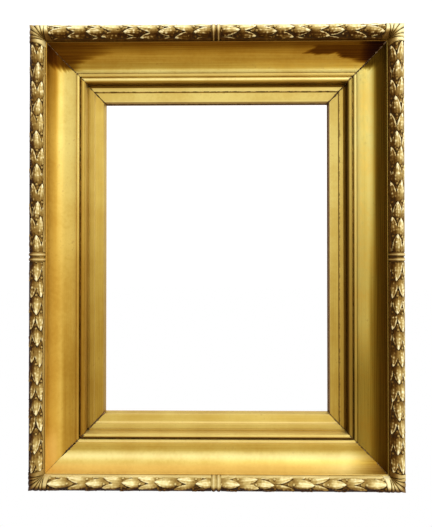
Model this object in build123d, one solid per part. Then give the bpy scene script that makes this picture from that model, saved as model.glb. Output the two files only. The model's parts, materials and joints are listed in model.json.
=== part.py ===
from build123d import *
import os
from math import sqrt

# Ornate gilded picture frame, in millimetres. X runs to the right, Z up, and the front faces -Y.
# The origin is the centre of the back plane. In a section, u is the distance outward from the sight
# edge and h is the height forward of the back plane.

# Picture and rabbet
picture_width = 304.8
picture_height = 406.4
picture_clearance = 1.6
rabbet_depth = 13.0

# Slip, from the sight edge outward
sight_wall_height = 9.5
sight_wall_width = 0.8
sight_flat_width = 9.2
sight_flat_rise = 4.1
step_riser_height = 1.9
step_riser_width = 0.3
step_flat_width = 5.0
step_flat_rise = 0.9
slip_quirk_width = 0.6
slip_quirk_depth = 0.7
slip_list_width = 1.0
slip_channel_width = 1.2
slip_channel_depth = 0.8
slip_tongue_width = 3.1
slip_fit = 0.5

# Rail, from its inner wall outward
inner_wall_height = 7.4
bead_width = 5.5
bead_height = 3.2
quirk_width = 1.0
quirk_depth = 1.2
ridge_width = 3.9
ridge_height = 1.9
ridge_crown = 0.6
cove_width = 29.8
cove_rise = 11.3
cove_sag = 6.1
fillet_width = 1.0
rim_seat_depth = 3.0
rim_width = 18.0
edge_band_height = 4.0
side_inset = 2.0

# Laurel rim, ties and corner caps
rim_fit = 0.1
plinth_height = 1.8
leaf_relief = 2.6
leaf_edge_relief = 0.4
leaf_pitch = 19.8
leaf_length = 28.0
leaf_width = 10.4
leaf_belly = 0.45
side_leaf_angle = 84.0
leaf_roll_angle = 15.0
flank_height = 3.0
tie_length = 11.0
tie_relief = 1.2
cap_reach = 7.0
cap_relief = 1.0
cap_band_width = 2.6
cap_groove_width = 0.8
cap_fan_reeds = 6

# Corner nails and slip nails
nail_radius = 1.2
nail_head_radius = 2.2
nail_head_height = 1.2
nail_length = 46.0
nail_inset = 50.0
nail_low_height = 10.0
nail_spacing = 11.0
nail_fit = 0.05
brad_radius = 0.7
brad_head_radius = 1.2
brad_head_height = 0.8
brad_grip = 5.0
brad_spacing = 130.0

# Screw eyes and hanging rings
eye_wire_radius = 1.5
eye_hole_radius = 3.5
eye_standoff = 0.8
eye_shank_length = 18.0
eye_from_rabbet = 26.0
eye_height = 92.0
ring_wire_radius = 1.25
ring_radius = 10.5
ring_clearance = 0.3

# Turn buttons and their screws
button_thickness = 1.6
button_pivot_radius = 5.0
button_tip_radius = 3.2
button_reach = 14.0
button_from_rabbet = 8.0
button_height = 130.0
button_clearance = 0.2
screw_shank_radius = 1.6
screw_shank_length = 16.0
screw_head_radius = 3.4
screw_head_height = 2.2
screw_fit = 0.15

# Section stations worked out from the widths and heights above
slip_u = [0.0]
for width in (
    sight_wall_width,
    sight_flat_width,
    step_riser_width,
    step_flat_width,
    slip_quirk_width,
    slip_list_width,
    slip_channel_width,
):
    slip_u.append(slip_u[-1] + width)
sight_arris_u, sight_flat_u, step_u, step_end_u, list_u, list_end_u, wall_u = slip_u[1:]
rabbet_u = wall_u + slip_tongue_width + slip_fit
sight_arris_h = rabbet_depth + sight_wall_height
sight_flat_h = sight_arris_h + sight_flat_rise
step_h = sight_flat_h + step_riser_height
step_end_h = step_h + step_flat_rise
tongue_h = step_end_h - slip_channel_depth

bead_h = tongue_h + inner_wall_height
bead_end_u = wall_u + bead_width
quirk_end_u = bead_end_u + quirk_width
quirk_h = bead_h - quirk_depth
ridge_end_u = quirk_end_u + ridge_width
ridge_h = bead_h + ridge_height
cove_end_u = ridge_end_u + cove_width
fillet_h = ridge_h + cove_rise
rim_u = cove_end_u + fillet_width
rim_seat_h = fillet_h - rim_seat_depth
outer_u = rim_u + rim_width
side_u = outer_u - side_inset
side_h = rim_seat_h - edge_band_height - side_inset

sight_half_width = picture_width / 2 + picture_clearance - rabbet_u
sight_half_height = picture_height / 2 + picture_clearance - rabbet_u

# The rim springs from the level of the fillet as a half round that fills its seat
rim_radius = rim_width / 2 - rim_fit
rim_centre_u = rim_u + rim_width / 2
laurel_core_radius = rim_radius - leaf_relief
cap_core_radius = rim_radius - cap_relief

# The four sides: turn about Y from the top, half run along the side, half distance to the sight edge
SIDES = {
    "top": (0, sight_half_width, sight_half_height),
    "right": (90, sight_half_height, sight_half_width),
    "bottom": (180, sight_half_width, sight_half_height),
    "left": (270, sight_half_height, sight_half_width),
}
CORNERS = [(1, 1), (1, -1), (-1, -1), (-1, 1)]
HANDS = {"left": -1, "right": 1}


def outline(*edges):
    """A closed face from edges that follow each other."""
    return make_face(list(edges))


def polygon(*points):
    """A closed face with straight edges through the points."""
    return make_face(Polyline(*points, close=True))


def mitred(face, run_half, sight_half):
    """A section in (u, h) drawn along the top side and cut at 45 degrees at both ends."""
    reach = run_half + 2 * outer_u
    section_plane = Plane(origin=(0, 0, sight_half), x_dir=(0, 0, 1), z_dir=(1, 0, 0))
    bar = extrude(section_plane * face, reach, both=True)
    low = -outer_u / 2
    high = 2 * outer_u
    wedge_outline = polygon(
        (-run_half - low, low),
        (run_half + low, low),
        (run_half + high, high),
        (-run_half - high, high),
    )
    front_plane = Plane(origin=(0, 0, sight_half), x_dir=(1, 0, 0), z_dir=(0, -1, 0))
    wedge = extrude(front_plane * wedge_outline, 2 * outer_u, both=True)
    return bar & wedge


def slip_section():
    """The slip: sight wall, sloped sight flat, step, quirk and list, channel and tongue."""
    return polygon(
        (0, rabbet_depth),
        (sight_arris_u, sight_arris_h),
        (sight_flat_u, sight_flat_h),
        (step_u, step_h),
        (step_end_u, step_end_h),
        (step_end_u, step_end_h - slip_quirk_depth),
        (list_u, step_end_h - slip_quirk_depth),
        (list_u, step_end_h),
        (list_end_u, step_end_h),
        (list_end_u, tongue_h),
        (wall_u + slip_tongue_width, tongue_h),
        (wall_u + slip_tongue_width, rabbet_depth),
    )


def rail_section():
    """The moulding: rabbet, lip, bead, quirk, ridge, cove, fillet, rim seat and plain side."""
    lip = Polyline((rabbet_u, 0), (rabbet_u, tongue_h), (wall_u, tongue_h), (wall_u, bead_h))
    bead = ThreePointArc(
        (wall_u, bead_h),
        (wall_u + bead_width / 2, bead_h + bead_height),
        (bead_end_u, bead_h),
    )
    quirk = Polyline(
        (bead_end_u, bead_h),
        (bead_end_u, quirk_h),
        (quirk_end_u, quirk_h),
        (quirk_end_u, bead_h),
    )
    ridge = ThreePointArc(
        (quirk_end_u, bead_h),
        (quirk_end_u + ridge_width / 2, ridge_h + ridge_crown),
        (ridge_end_u, ridge_h),
    )
    cove = SagittaArc((ridge_end_u, ridge_h), (cove_end_u, fillet_h), -cove_sag)
    outside = Polyline(
        (cove_end_u, fillet_h),
        (rim_u, fillet_h),
        (rim_u, rim_seat_h),
        (outer_u, rim_seat_h),
        (outer_u, rim_seat_h - edge_band_height),
        (side_u, side_h),
        (side_u, 0),
        (rabbet_u, 0),
    )
    return outline(lip, bead, quirk, ridge, cove, outside)


def rod(radius, start, end):
    """A round rod between two points."""
    start, end = Vector(*start), Vector(*end)
    return Plane(origin=start, z_dir=end - start) * Cylinder(
        radius, (end - start).length, align=(Align.CENTER, Align.CENTER, Align.MIN)
    )


def nail(radius, head_radius, head_height, top, point):
    """A headed nail from the outside of its head to its point."""
    top, point = Vector(*top), Vector(*point)
    neck = top + (point - top).normalized() * head_height
    return rod(head_radius, top, neck) + rod(radius, neck, point)


def corner_nails(extra):
    """Two nails at each corner, across the mitre from the two outer sides, one above the other."""
    nails = []
    high = nail_low_height + nail_spacing
    for side_x, side_z in CORNERS:
        across = side_x * (sight_half_width + nail_inset)
        along = side_z * (sight_half_height + nail_inset)
        outer_x = side_x * (sight_half_width + side_u)
        outer_z = side_z * (sight_half_height + side_u)
        sizes = (nail_radius + extra, nail_head_radius + extra, nail_head_height + extra)
        down = (across, -nail_low_height, outer_z - side_z * (nail_length + extra))
        inward = (outer_x - side_x * (nail_length + extra), -high, along)
        nails.append(nail(*sizes, (across, -nail_low_height, outer_z), down))
        nails.append(nail(*sizes, (outer_x, -high, along), inward))
    return nails


def slip_nails(extra):
    """Brads along each slip, from its back through the tongue into the lip of the rail."""
    brads = []
    inset = wall_u + slip_tongue_width / 2
    sizes = (brad_radius + extra, brad_head_radius + extra, brad_head_height + extra)
    for turn, run_half, sight_half in SIDES.values():
        count = max(2, round(2 * run_half / brad_spacing))
        for index in range(count):
            x = (index - (count - 1) / 2) * 2 * run_half / count
            top = (x, -rabbet_depth, sight_half + inset)
            point = (x, -(tongue_h + brad_grip + extra), sight_half + inset)
            brads.append(Rot(0, turn, 0) * nail(*sizes, top, point))
    return brads


def laurel_leaf():
    """One leaf lying along X on top of the rim's core: a loft from its root point, through a kite with a
    raised midrib at its belly, to its tip."""
    edge_radius = laurel_core_radius + leaf_edge_relief
    half = leaf_width / 2
    edge = sqrt(edge_radius**2 - half**2)
    deep = laurel_core_radius / 2
    belly_x = leaf_belly * leaf_length
    belly = Plane.YZ.offset(belly_x) * polygon((-half, edge), (0, rim_radius), (half, edge), (0, deep))
    root = Vertex(0, 0, laurel_core_radius)
    tip = Vertex(leaf_length, 0, rim_radius)
    return loft([root, belly, tip], ruled=True)


def rim_block(radius, start, end):
    """A length of the rim along X: a half round on a plinth, with its axis at the springing line."""
    half = rim_width / 2 - rim_fit
    plinth_top = plinth_height - rim_seat_depth
    plinth = polygon(
        (-half, -rim_seat_depth), (half, -rim_seat_depth), (half, plinth_top), (-half, plinth_top)
    )
    stem = polygon((-radius, -rim_seat_depth), (radius, -rim_seat_depth), (radius, 0), (-radius, 0))
    section = Circle(radius) & Pos(0, radius) * Rectangle(2 * radius, 2 * radius)
    plane = Plane.YZ.offset(start)
    return extrude(plane * (section + stem + plinth), end - start)


def laurel_flanks(length):
    """Shoulders along X that fill the sides of the rim's seat under the leaves."""
    foot = polygon(
        (-rim_radius, -rim_seat_depth), (rim_radius, -rim_seat_depth), (rim_radius, 0), (-rim_radius, 0)
    )
    shoulder = Circle(rim_radius) & Pos(0, flank_height / 2) * Rectangle(2 * rim_radius, flank_height)
    return extrude(Plane.YZ * (foot + shoulder), length)


def laurel_run(length, roll_angle):
    """A cast length of laurel: leaves in alternate rows of three and two, tips towards +X, all rolled a little
    about the rim towards the cove."""
    rows = max(2, round(length / leaf_pitch))
    pitch = length / rows
    leaf = laurel_leaf()
    leaves = []
    for row in range(-1, rows):
        angles = (-side_leaf_angle, 0, side_leaf_angle)
        if row % 2:
            angles = (-side_leaf_angle / 2, side_leaf_angle / 2)
        for angle in angles:
            leaves.append(Pos(row * pitch, 0, 0) * Rot(angle + roll_angle, 0, 0) * leaf)
    run = rim_block(laurel_core_radius, 0, length).fuse(laurel_flanks(length), *leaves)
    trim_height = rim_radius + rim_seat_depth
    trim = Pos(length / 2, 0, trim_height / 2 - rim_seat_depth) * Box(length, 2 * rim_radius, trim_height)
    return run & trim


def centre_tie():
    """A ribbon tie: two reeds turned over the rim, on a plinth like that of the laurel."""
    low = rim_radius - tie_relief
    quarter = tie_length / 4
    half = tie_length / 2
    reeds = outline(
        Polyline((0, low), (0, 0), (-half, 0), (-half, low)),
        ThreePointArc((-half, low), (-quarter, rim_radius), (0, low)),
    )
    reeds += mirror(reeds, about=Plane.YZ)
    turned = revolve(Plane.XZ * reeds, Axis.X, 360)
    upper = Pos(0, 0, rim_radius) * Box(tie_length, 2 * rim_radius, 2 * rim_radius)
    return (turned & upper) + rim_block(low, -half, half)


def rim_plane(sight_half, x, direction):
    """The frame of a rim piece on the top side: X along the side, Z forward, at the springing line."""
    origin = (x, -fillet_h, sight_half + rim_centre_u)
    return Plane(origin=origin, x_dir=(direction, 0, 0), z_dir=(0, -1, 0))


def corner_cap():
    """A cap over the upper right mitre: ribbon bands across each leg and a fan of reeds between them.

    It is worked in the plane of the front with the inner corner of the rim at the origin.
    """
    far = rim_width

    def mitred_rim(radius):
        leg = Pos(0, rim_width / 2, 0) * rim_block(radius, -cap_reach, 2 * far)
        above_mitre = polygon((-2 * far, -2 * far), (2 * far, 2 * far), (-2 * far, 2 * far))
        wedge = extrude(above_mitre, far, both=True)
        level = leg & wedge
        return level + mirror(level, about=Plane(origin=(0, 0, 0), z_dir=(1, -1, 0)))

    def groove(angle, shift):
        slot = Pos(shift, far, 0) * Box(cap_groove_width, 2 * far, 4 * far)
        return Rot(0, 0, angle) * slot

    reeded = mitred_rim(rim_radius)
    fan_step = 90 / cap_fan_reeds
    for index in range(cap_fan_reeds + 1):
        reeded -= groove(-index * fan_step, 0)
    band_shift = cap_band_width + cap_groove_width
    reeded -= groove(0, -band_shift)
    reeded -= groove(-90, band_shift)
    return reeded + mitred_rim(cap_core_radius)


def screw_eye():
    """A screw eye standing on the back plane, its hole along X and its shank in the wood."""
    eye_radius = eye_hole_radius + eye_wire_radius
    centre_y = eye_radius + eye_wire_radius + eye_standoff
    loop = Pos(0, centre_y, 0) * Rot(0, 90, 0) * Torus(eye_radius, eye_wire_radius)
    shank = rod(eye_wire_radius, (0, -eye_shank_length, 0), (0, centre_y - eye_radius, 0))
    return loop + shank


def hanging_ring():
    """A plain ring hanging flat from the lower side of the eye's hole."""
    centre = Vector(0, ring_axis_y, ring_axis_drop - ring_radius)
    return Pos(*centre) * Rot(90, 0, 0) * Torus(ring_radius, ring_wire_radius)


def turn_button():
    """A flat button, round at its pivot and narrower at its tip, hanging down from its screw."""
    pivot = Circle(button_pivot_radius)
    tip = Pos(0, -button_reach) * Circle(button_tip_radius)
    blank = make_hull(pivot.edges() + tip.edges()) - Circle(screw_shank_radius + screw_fit)
    plane = Plane(origin=(0, button_clearance + button_thickness, 0), x_dir=(1, 0, 0), z_dir=(0, -1, 0))
    return extrude(plane * blank, button_thickness)


def button_screw():
    """A round-headed screw through the button into the stile."""
    seat = 2 * button_clearance + button_thickness
    crown = seat + screw_head_height
    profile = outline(
        TangentArc((0, crown), (screw_head_radius, seat), tangent=(1, 0)),
        Polyline(
            (screw_head_radius, seat),
            (screw_shank_radius, seat),
            (screw_shank_radius, -screw_shank_length),
            (0, -screw_shank_length),
            (0, crown),
        ),
    )
    return revolve(profile, Axis.Y, 360)


# Places of the hardware on the backs of the stiles
eye_x = sight_half_width + rabbet_u + eye_from_rabbet
ring_axis_y = eye_hole_radius + 2 * eye_wire_radius + eye_standoff
ring_axis_drop = -(eye_hole_radius - ring_wire_radius - ring_clearance)
button_x = sight_half_width + rabbet_u + button_from_rabbet
EYE_PLACES = {hand: Pos(sign * eye_x, 0, eye_height) for hand, sign in HANDS.items()}
BUTTON_PLACES = {
    f"{level}_{hand}": Pos(sign * button_x, 0, rise * button_height)
    for level, rise in {"upper": 1, "lower": -1}.items()
    for hand, sign in HANDS.items()
}

nodes = {}

# Rails and stiles, with holes for the nails, screws and eyes
eye_bore = rod(eye_wire_radius + nail_fit, (0, -eye_shank_length - nail_fit, 0), (0, eye_wire_radius, 0))
screw_bore = rod(screw_shank_radius + nail_fit, (0, -screw_shank_length - nail_fit, 0), (0, screw_fit, 0))
rail_holes = corner_nails(nail_fit) + slip_nails(nail_fit)
rail_holes += [place * eye_bore for place in EYE_PLACES.values()]
rail_holes += [place * screw_bore for place in BUTTON_PLACES.values()]
RAIL_NAMES = {"top": "top_rail", "right": "right_stile", "bottom": "bottom_rail", "left": "left_stile"}
for side, (turn, run_half, sight_half) in SIDES.items():
    rail = Rot(0, turn, 0) * mitred(rail_section(), run_half, sight_half)
    nodes[RAIL_NAMES[side]] = rail - rail_holes
    slip = Rot(0, turn, 0) * mitred(slip_section(), run_half, sight_half)
    nodes[f"slip_{side}"] = slip - slip_nails(nail_fit)

# Laurel runs from each tie to the caps, and the ties
RUN_ENDS = {
    "top": ("left", "right"),
    "right": ("upper", "lower"),
    "bottom": ("right", "left"),
    "left": ("lower", "upper"),
}
RUNS = {
    (run_half, direction): laurel_run(
        run_half + rim_u - cap_reach - tie_length / 2, direction * leaf_roll_angle
    )
    for run_half in (sight_half_width, sight_half_height)
    for direction in (-1, 1)
}
for side, (turn, run_half, sight_half) in SIDES.items():
    for end, direction in zip(RUN_ENDS[side], (-1, 1)):
        place = Rot(0, turn, 0) * rim_plane(sight_half, direction * tie_length / 2, direction).location
        nodes[f"laurel_{side}_{end}"] = place * RUNS[run_half, direction]
    nodes[f"tie_{side}"] = Rot(0, turn, 0) * rim_plane(sight_half, 0, 1).location * centre_tie()

# Corner caps, turned from the upper right corner
CAP_TURNS = {"upper_right": 0, "lower_right": 90, "lower_left": 180, "upper_left": 270}
cap = corner_cap()
for (name, turn), (side_x, side_z) in zip(CAP_TURNS.items(), CORNERS):
    corner = (side_x * (sight_half_width + rim_u), -fillet_h, side_z * (sight_half_height + rim_u))
    face_front = Plane(origin=(0, 0, 0), x_dir=(1, 0, 0), z_dir=(0, -1, 0)).location
    nodes[f"corner_cap_{name}"] = Pos(*corner) * Rot(0, turn, 0) * face_front * cap

# Fasteners and hanging hardware
nodes["corner_nails"] = Compound(corner_nails(0))
nodes["slip_nails"] = Compound(slip_nails(0))
for hand, place in EYE_PLACES.items():
    nodes[f"screw_eye_{hand}"] = place * screw_eye()
    nodes[f"hanging_ring_{hand}"] = place * hanging_ring()
for name, place in BUTTON_PLACES.items():
    nodes[f"turn_button_{name}"] = place * turn_button()
nodes["turn_button_screws"] = Compound([place * button_screw() for place in BUTTON_PLACES.values()])

os.makedirs("parts", exist_ok=True)
for name, shape in nodes.items():
    export_step(shape, f"parts/{name}.step")
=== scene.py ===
"""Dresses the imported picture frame: gilded moulding, slip, laurel rim, corner caps and back hardware.

Everything is in metres in the frame's own axes: X to the right, Z up, the front facing -Y and the back
plane at Y = 0. In a section, out is the distance outward from the sight edge and height is forward of the
back plane.
"""

import json
import math
from functools import reduce
from types import SimpleNamespace

import bpy
import numpy as np
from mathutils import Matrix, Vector


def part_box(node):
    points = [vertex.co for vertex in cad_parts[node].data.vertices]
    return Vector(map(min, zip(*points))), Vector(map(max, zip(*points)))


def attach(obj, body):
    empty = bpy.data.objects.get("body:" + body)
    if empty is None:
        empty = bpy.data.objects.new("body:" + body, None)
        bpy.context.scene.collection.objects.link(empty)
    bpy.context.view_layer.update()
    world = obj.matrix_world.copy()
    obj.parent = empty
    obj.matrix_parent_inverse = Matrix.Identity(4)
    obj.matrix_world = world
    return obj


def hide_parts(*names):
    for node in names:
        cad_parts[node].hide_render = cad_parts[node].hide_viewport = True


bl_info = {
    "name": "Gilded Picture Frame",
    "version": (1, 0, 0),
    "blender": (4, 5, 0),
    "location": "View3D > Sidebar > Gilded Frame",
    "description": "Gilded mouldings, laurel rim, corner caps and hanging hardware on a packed picture frame",
    "category": "Add Mesh",
}

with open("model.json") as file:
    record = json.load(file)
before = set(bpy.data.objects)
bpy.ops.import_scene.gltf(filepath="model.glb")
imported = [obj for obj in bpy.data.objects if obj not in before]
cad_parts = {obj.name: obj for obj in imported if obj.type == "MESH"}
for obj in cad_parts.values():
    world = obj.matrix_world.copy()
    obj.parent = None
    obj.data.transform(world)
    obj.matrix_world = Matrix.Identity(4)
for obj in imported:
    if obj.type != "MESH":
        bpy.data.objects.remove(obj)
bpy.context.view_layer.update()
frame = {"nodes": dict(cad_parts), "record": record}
BODY_OF = {node: body for body, nodes in frame["record"]["behaviour"]["bodies"].items() for node in nodes}
SIGHT_HALF_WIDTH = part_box("slip_right")[0].x
SIGHT_HALF_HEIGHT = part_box("slip_top")[0].z

# The four sides: turn about Y from the top, half run along the side, half distance to the sight edge
SIDES = {
    "top": (0, SIGHT_HALF_WIDTH, SIGHT_HALF_HEIGHT),
    "right": (90, SIGHT_HALF_HEIGHT, SIGHT_HALF_WIDTH),
    "bottom": (180, SIGHT_HALF_WIDTH, SIGHT_HALF_HEIGHT),
    "left": (270, SIGHT_HALF_HEIGHT, SIGHT_HALF_WIDTH),
}
# The rail of each side, and the ends that its two laurel runs reach for, clockwise
RAILS = {"top": "top_rail", "right": "right_stile", "bottom": "bottom_rail", "left": "left_stile"}
RUN_ENDS = {
    "top": ("left", "right"),
    "right": ("upper", "lower"),
    "bottom": ("right", "left"),
    "left": ("lower", "upper"),
}
# The four corner caps: turn about Y, signs of X and Z, the two sides joined, and painted shade over all of
# the cap, deeper towards the lower left
CAPS = {
    "upper_right": (0, 1, 1, "top", "right", -0.32),
    "lower_right": (90, 1, -1, "right", "bottom", -0.02),
    "lower_left": (180, -1, -1, "bottom", "left", 0.21),
    "upper_left": (270, -1, 1, "left", "top", -0.17),
}
HANDS = ("left", "right")
BUTTONS = [f"{level}_{hand}" for level in ("upper", "lower") for hand in HANDS]

# The studio's brightness by direction: up and down, left to right, and front to back
HEIGHT_LEVELS = ((-1, 0.44), (-0.6, 0.52), (-0.25, 0.68), (0.05, 0.84), (0.3, 0.92), (0.6, 0.88), (1, 0.8))
SIDE_LEVELS = ((-1, 0.7), (-0.8, 0.85), (-0.5, 1), (0.5, 1), (0.8, 1), (1, 0.85))
BEHIND_LEVELS = ((-1, 0), (0.55, 0), (0.76, 0.8), (1, 0.8))
# The two lamps: place and size
KEY_LAMP = ((0.55, -1.2, 0.65), 0.9)
HIGH_LAMP = ((0.9, -0.8, 1.3), 0.5)

# Steps of the walk round a section, the depth at which a hollow is full of grime and painted shade, and the
# height at which a ridge is full of wear and painted highlight
WALK_STEP = 0.00008
FULL_HOLLOW = 0.0007
FULL_RUB = 0.0005
# Distances from a mitre where a length gets closer rows, and where its even rows start
END_ROWS = (0.0, 0.0004, 0.0009, 0.0018, 0.0035, 0.006)
EVEN_ROWS_START = 0.010
# Share across at which the cove ends and the fillet starts
COVE_END = 1.003
# Painted shade, in the brown glaze, on each rail and low on the right stile: its depths, and the shares of
# the cove for them
COVE_PAINTED_SHADE = {
    "top": (
        (0.0, 0.02, 0.34, 0.50, 0.48, 0.36, 0.34, 0.48, 0.70, 1.0),
        (0.0, 0.13, 0.20, 0.28, 0.39, 0.54, 0.64, 0.74, 0.83, 0.93),
    ),
    "right": ((0.04, 0.15, 0.02, 0.10, 0.35, 0.80, 1.0), (0.07, 0.29, 0.49, 0.585, 0.645, 0.715, 0.795)),
    "right_low": ((0.14, 0.16, 0.52, 0.72, 1.0), (0.0, 0.42, 0.52, 0.64, 0.82)),
    "bottom": ((0.14, 0.28, 0.30, 0.20, 0.04, 0.0), (0.0, 0.13, 0.25, 0.31, 0.37, 0.41)),
    "left": ((0.0, 0.05), (0.52, 0.78)),
}
# Patches where the stiles are darker: depth, heights where each starts and is full, and the same across
STILE_PATCHES = {
    "left": (
        (0.18, (0.12, -0.17), (0.62, 0.42)),
        (0.06, (0.02, 0.12), (-1.0, -0.9)),
        (0.12, (-0.06, -0.14), (0.62, 0.42)),
        (0.22, (0.13, 0.21), (0.60, 0.80)),
    ),
    "right": ((0.26, (-0.07, -0.15), (0.52, 0.40)),),
}
# The same for the dark right end of the top rail and its corner, with places along it for the heights
TOP_PATCHES = ((2.4, (0.142, 0.182), (0.25, 0.55)), (0.9, (0.148, 0.182), (0.06, 0.30)))
# Depth of the painted shadow that the top rail casts on the top ends of the stiles, and where it starts and
# is full: height and across
STILE_TOP_SHADOWS = {"left": 1.35, "right": 1.1}
STILE_SHADOW_PLACE = ((0.2145, 0.2205), (-0.2, 0.1))
# Heights between which a depth grows down the stiles: the low painted shade on the right, the darkening and
# the amber wash
RIGHT_LOW_FALL = (0.10, -0.15)
DARKENING_FALL = (0.12, -0.16)
WARMTH_FALL = (0.16, -0.05)
# The amber wash on each rail: shares of the cove, its depths there at the top, and those lower down
WARMTH = {
    "top": ((0.35, 0.5, 0.72, 0.85), (0.0, 0.18, 0.18, 0.08), (0.0, 0.0, 0.0, 0.0)),
    "right": ((0.0, 1.0), (0.0, 0.0), (0.12, 0.12)),
    "bottom": ((0.62, 0.72, 0.85), (0.0, 0.0, 0.0), (0.0, 0.12, 0.30)),
    "left": ((0.0, 0.57, 0.66, 0.755, 0.85), (0.0, 0.0, 0.0, 0.26, 0.29), (0.15, 0.24, 0.31, 0.36, 0.38)),
}
# The dark patch at the left of the top rail: shares of the cove, with the place of its edge and its softness
# there
LEFT_DARK_EDGE = ((0.18, 0.46, 0.61, 0.75, 0.90), (0.162, 0.154, 0.144, 0.122, 0.100))
LEFT_DARK_FADE = ((0.46, 0.61, 0.75, 0.90), (0.014, 0.020, 0.045, 0.060))
# Depth of the painted shade on the fillet beside the rim, on the bead and on the ridge
FILLET_PAINTED_SHADE = {"top": 0.85, "right": 0.4, "bottom": 0.0, "left": 0.03}
BEAD_PAINTED_SHADE = {"top": 0.0, "right": 0.25, "bottom": 0.15, "left": 0.28}
RIDGE_PAINTED_SHADE = {"top": 0.20, "right": 0.06, "bottom": 0.0, "left": 0.10}
# Share of bright wear and painted highlight on the arrises of the rails and slip
EDGE_WEAR_AND_HIGHLIGHT = {"top": 0.5, "right": 0.4, "bottom": 0.45, "left": 0.2}
# Painted shade on small walls that lean away from upper right: its depth, and the leans where it starts and
# is full
SMALL_SHADE = {
    "top": (0.55, 0.20, 0.62),
    "right": (0.9, 0.20, 0.62),
    "bottom": (1.2, -0.05, 0.36),
    "left": (0.38, 0.08, 0.45),
}
# Shares of grime and painted shade in the quirk, on the inner walls, in the slip's hollows and at the foot of
# its step
QUIRK_GRIME_AND_SHADE = {"top": 0.45, "right": 0.80, "bottom": 0.88, "left": 0.85}
WALL_GRIME_AND_SHADE = {"top": 1.0, "right": 1.0, "bottom": 0.0, "left": 0.15}
SLIP_GRIME_AND_SHADE = {"top": 1.0, "right": 1.0, "bottom": 0.1, "left": 0.25}
FOOT_GRIME_AND_SHADE = {"top": 0.95, "right": 0.95, "bottom": 0.0, "left": 0.35}
# How far outward of the foot of the slip's step its line of grime and painted shade, and its painted
# highlight, lie
FOOT_SHIFT = {"top": 0.0004, "right": 0.0007, "bottom": -0.0010, "left": 0.0}
# Shares of painted light on the walls, and of a painted highlight at the foot of the slip's step
WALL_PAINTED_LIGHT = {"top": 0.0, "right": 0.0, "bottom": 0.6, "left": 0.8}
FOOT_PAINTED_HIGHLIGHT = {"top": 0.0, "right": 0.0, "bottom": 1.6, "left": 0.3}
# Share of the painted shade on the slip's walls and list, its depth over all of the slip, and what its step
# adds
SLIP_SHADE = {"top": 1.0, "right": 1.0, "bottom": 0.1, "left": 0.1}
SLIP_PAINTED_SHADE = {"top": 0.04, "right": 0.05, "bottom": 0.16, "left": 0.18}
STEP_PAINTED_SHADE = {"top": 0.0, "right": 0.11, "bottom": 0.0, "left": 0.04}
# How far the mitre cracks have opened at the two ends of each side, clockwise
MITRES = {"top": (1.0, 1.5), "right": (1.5, 1.0), "bottom": (1.0, 1.8), "left": (1.8, 1.0)}
# How far they have closed again on the outer half of the cove, and where out that starts and is full
MITRES_CLOSED = {"top": (0.0, 0.0), "right": (0.0, 0.3), "bottom": (0.3, 0.85), "left": (0.85, 0.0)}
MITRES_CLOSE = (0.038, 0.048)
# The painted shade round the rim on each side, deepest on the flank away from the upper right: its depths,
# and the places where it has them, inner flank to outer
RIM_PAINTED_SHADE = {
    "top": ((1.5, 1.5, 0.46, 0.0, -0.15), (-1, -0.52, -0.10, 0.29, 0.55)),
    "right": ((1.35, 1.1, 0.46, 0.38, 0.26), (-0.9, -0.54, -0.16, 0.2, 0.6)),
    "bottom": ((-0.02, 0.08, 0.0, 0.26, 0.88, 1.7, 2.1), (-1, -0.5, -0.1, 0.13, 0.32, 0.50, 0.66)),
    "left": ((0.36, 0.42, 0.76, 1.35, 1.9), (-1, -0.27, 0.1, 0.46, 0.85)),
}
# Share of the grime and painted shade kept in the creases of the rim's inner flank
INNER_FLANK_DARK = {"top": 1.0, "right": 1.0, "bottom": 0.3, "left": 0.8}
# Share of the grime and painted shade between the reeds of the ties, and of painted shade over them
TIE_GRIME_AND_SHADE = {"top": 0.9, "right": 1.0, "bottom": 0.6, "left": 0.75}
# Share of bright wear and painted highlight on the rim's high parts
RIM_WEAR_AND_HIGHLIGHT = {"top": 1.0, "right": 1.0, "bottom": 0.5, "left": 0.9}
# Steps round the rim to the flank lit from the upper right: leaf edges get a painted highlight towards it and
# a painted shadow behind
LIT_FLANK_STEPS = {"top": -2, "right": -2, "bottom": 2, "left": 2}
# Heights over what lies beside it between which the edge of a leaf goes from hidden to standing free
FREE_EDGE = (0.0002, 0.0009)
# Spread of the chance changes of a leaf: place along, turn about the rim, lean and size
LEAF_CHANCES = (0.0008, 0.03, 0.03, 0.05)
# Width of the lumps in the uneven casting
CAST_LUMP = 0.0008
# Length of a row of the laurel's grid, and of the stretch where the last leaves follow the slant of the cap
LAUREL_STEP = 0.00042
CAP_FOLLOW = 0.03
# Points of the rim's stem and plinth before and after its half round
STEM_POINTS = ((0, 0), (3, 3))
# The screw eye: angle at which its bend ends, gap between stem and loop, and length of its point
EYE_BEND_END = 1.40 * np.pi
EYE_NECK = 0.0012
EYE_POINT = 0.006


def distance(name, description, default):
    """A length in metres that a user may change."""
    return bpy.props.FloatProperty(
        name=name, description=description, default=default, subtype="DISTANCE", unit="LENGTH", precision=4
    )


def share(name, description, default):
    """A plain number that a user may change."""
    return bpy.props.FloatProperty(name=name, description=description, default=default)


def colour(name, description, default):
    """A linear colour that a user may change."""
    return bpy.props.FloatVectorProperty(
        name=name, description=description, default=default, subtype="COLOR", size=3, min=0, max=1
    )


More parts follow.
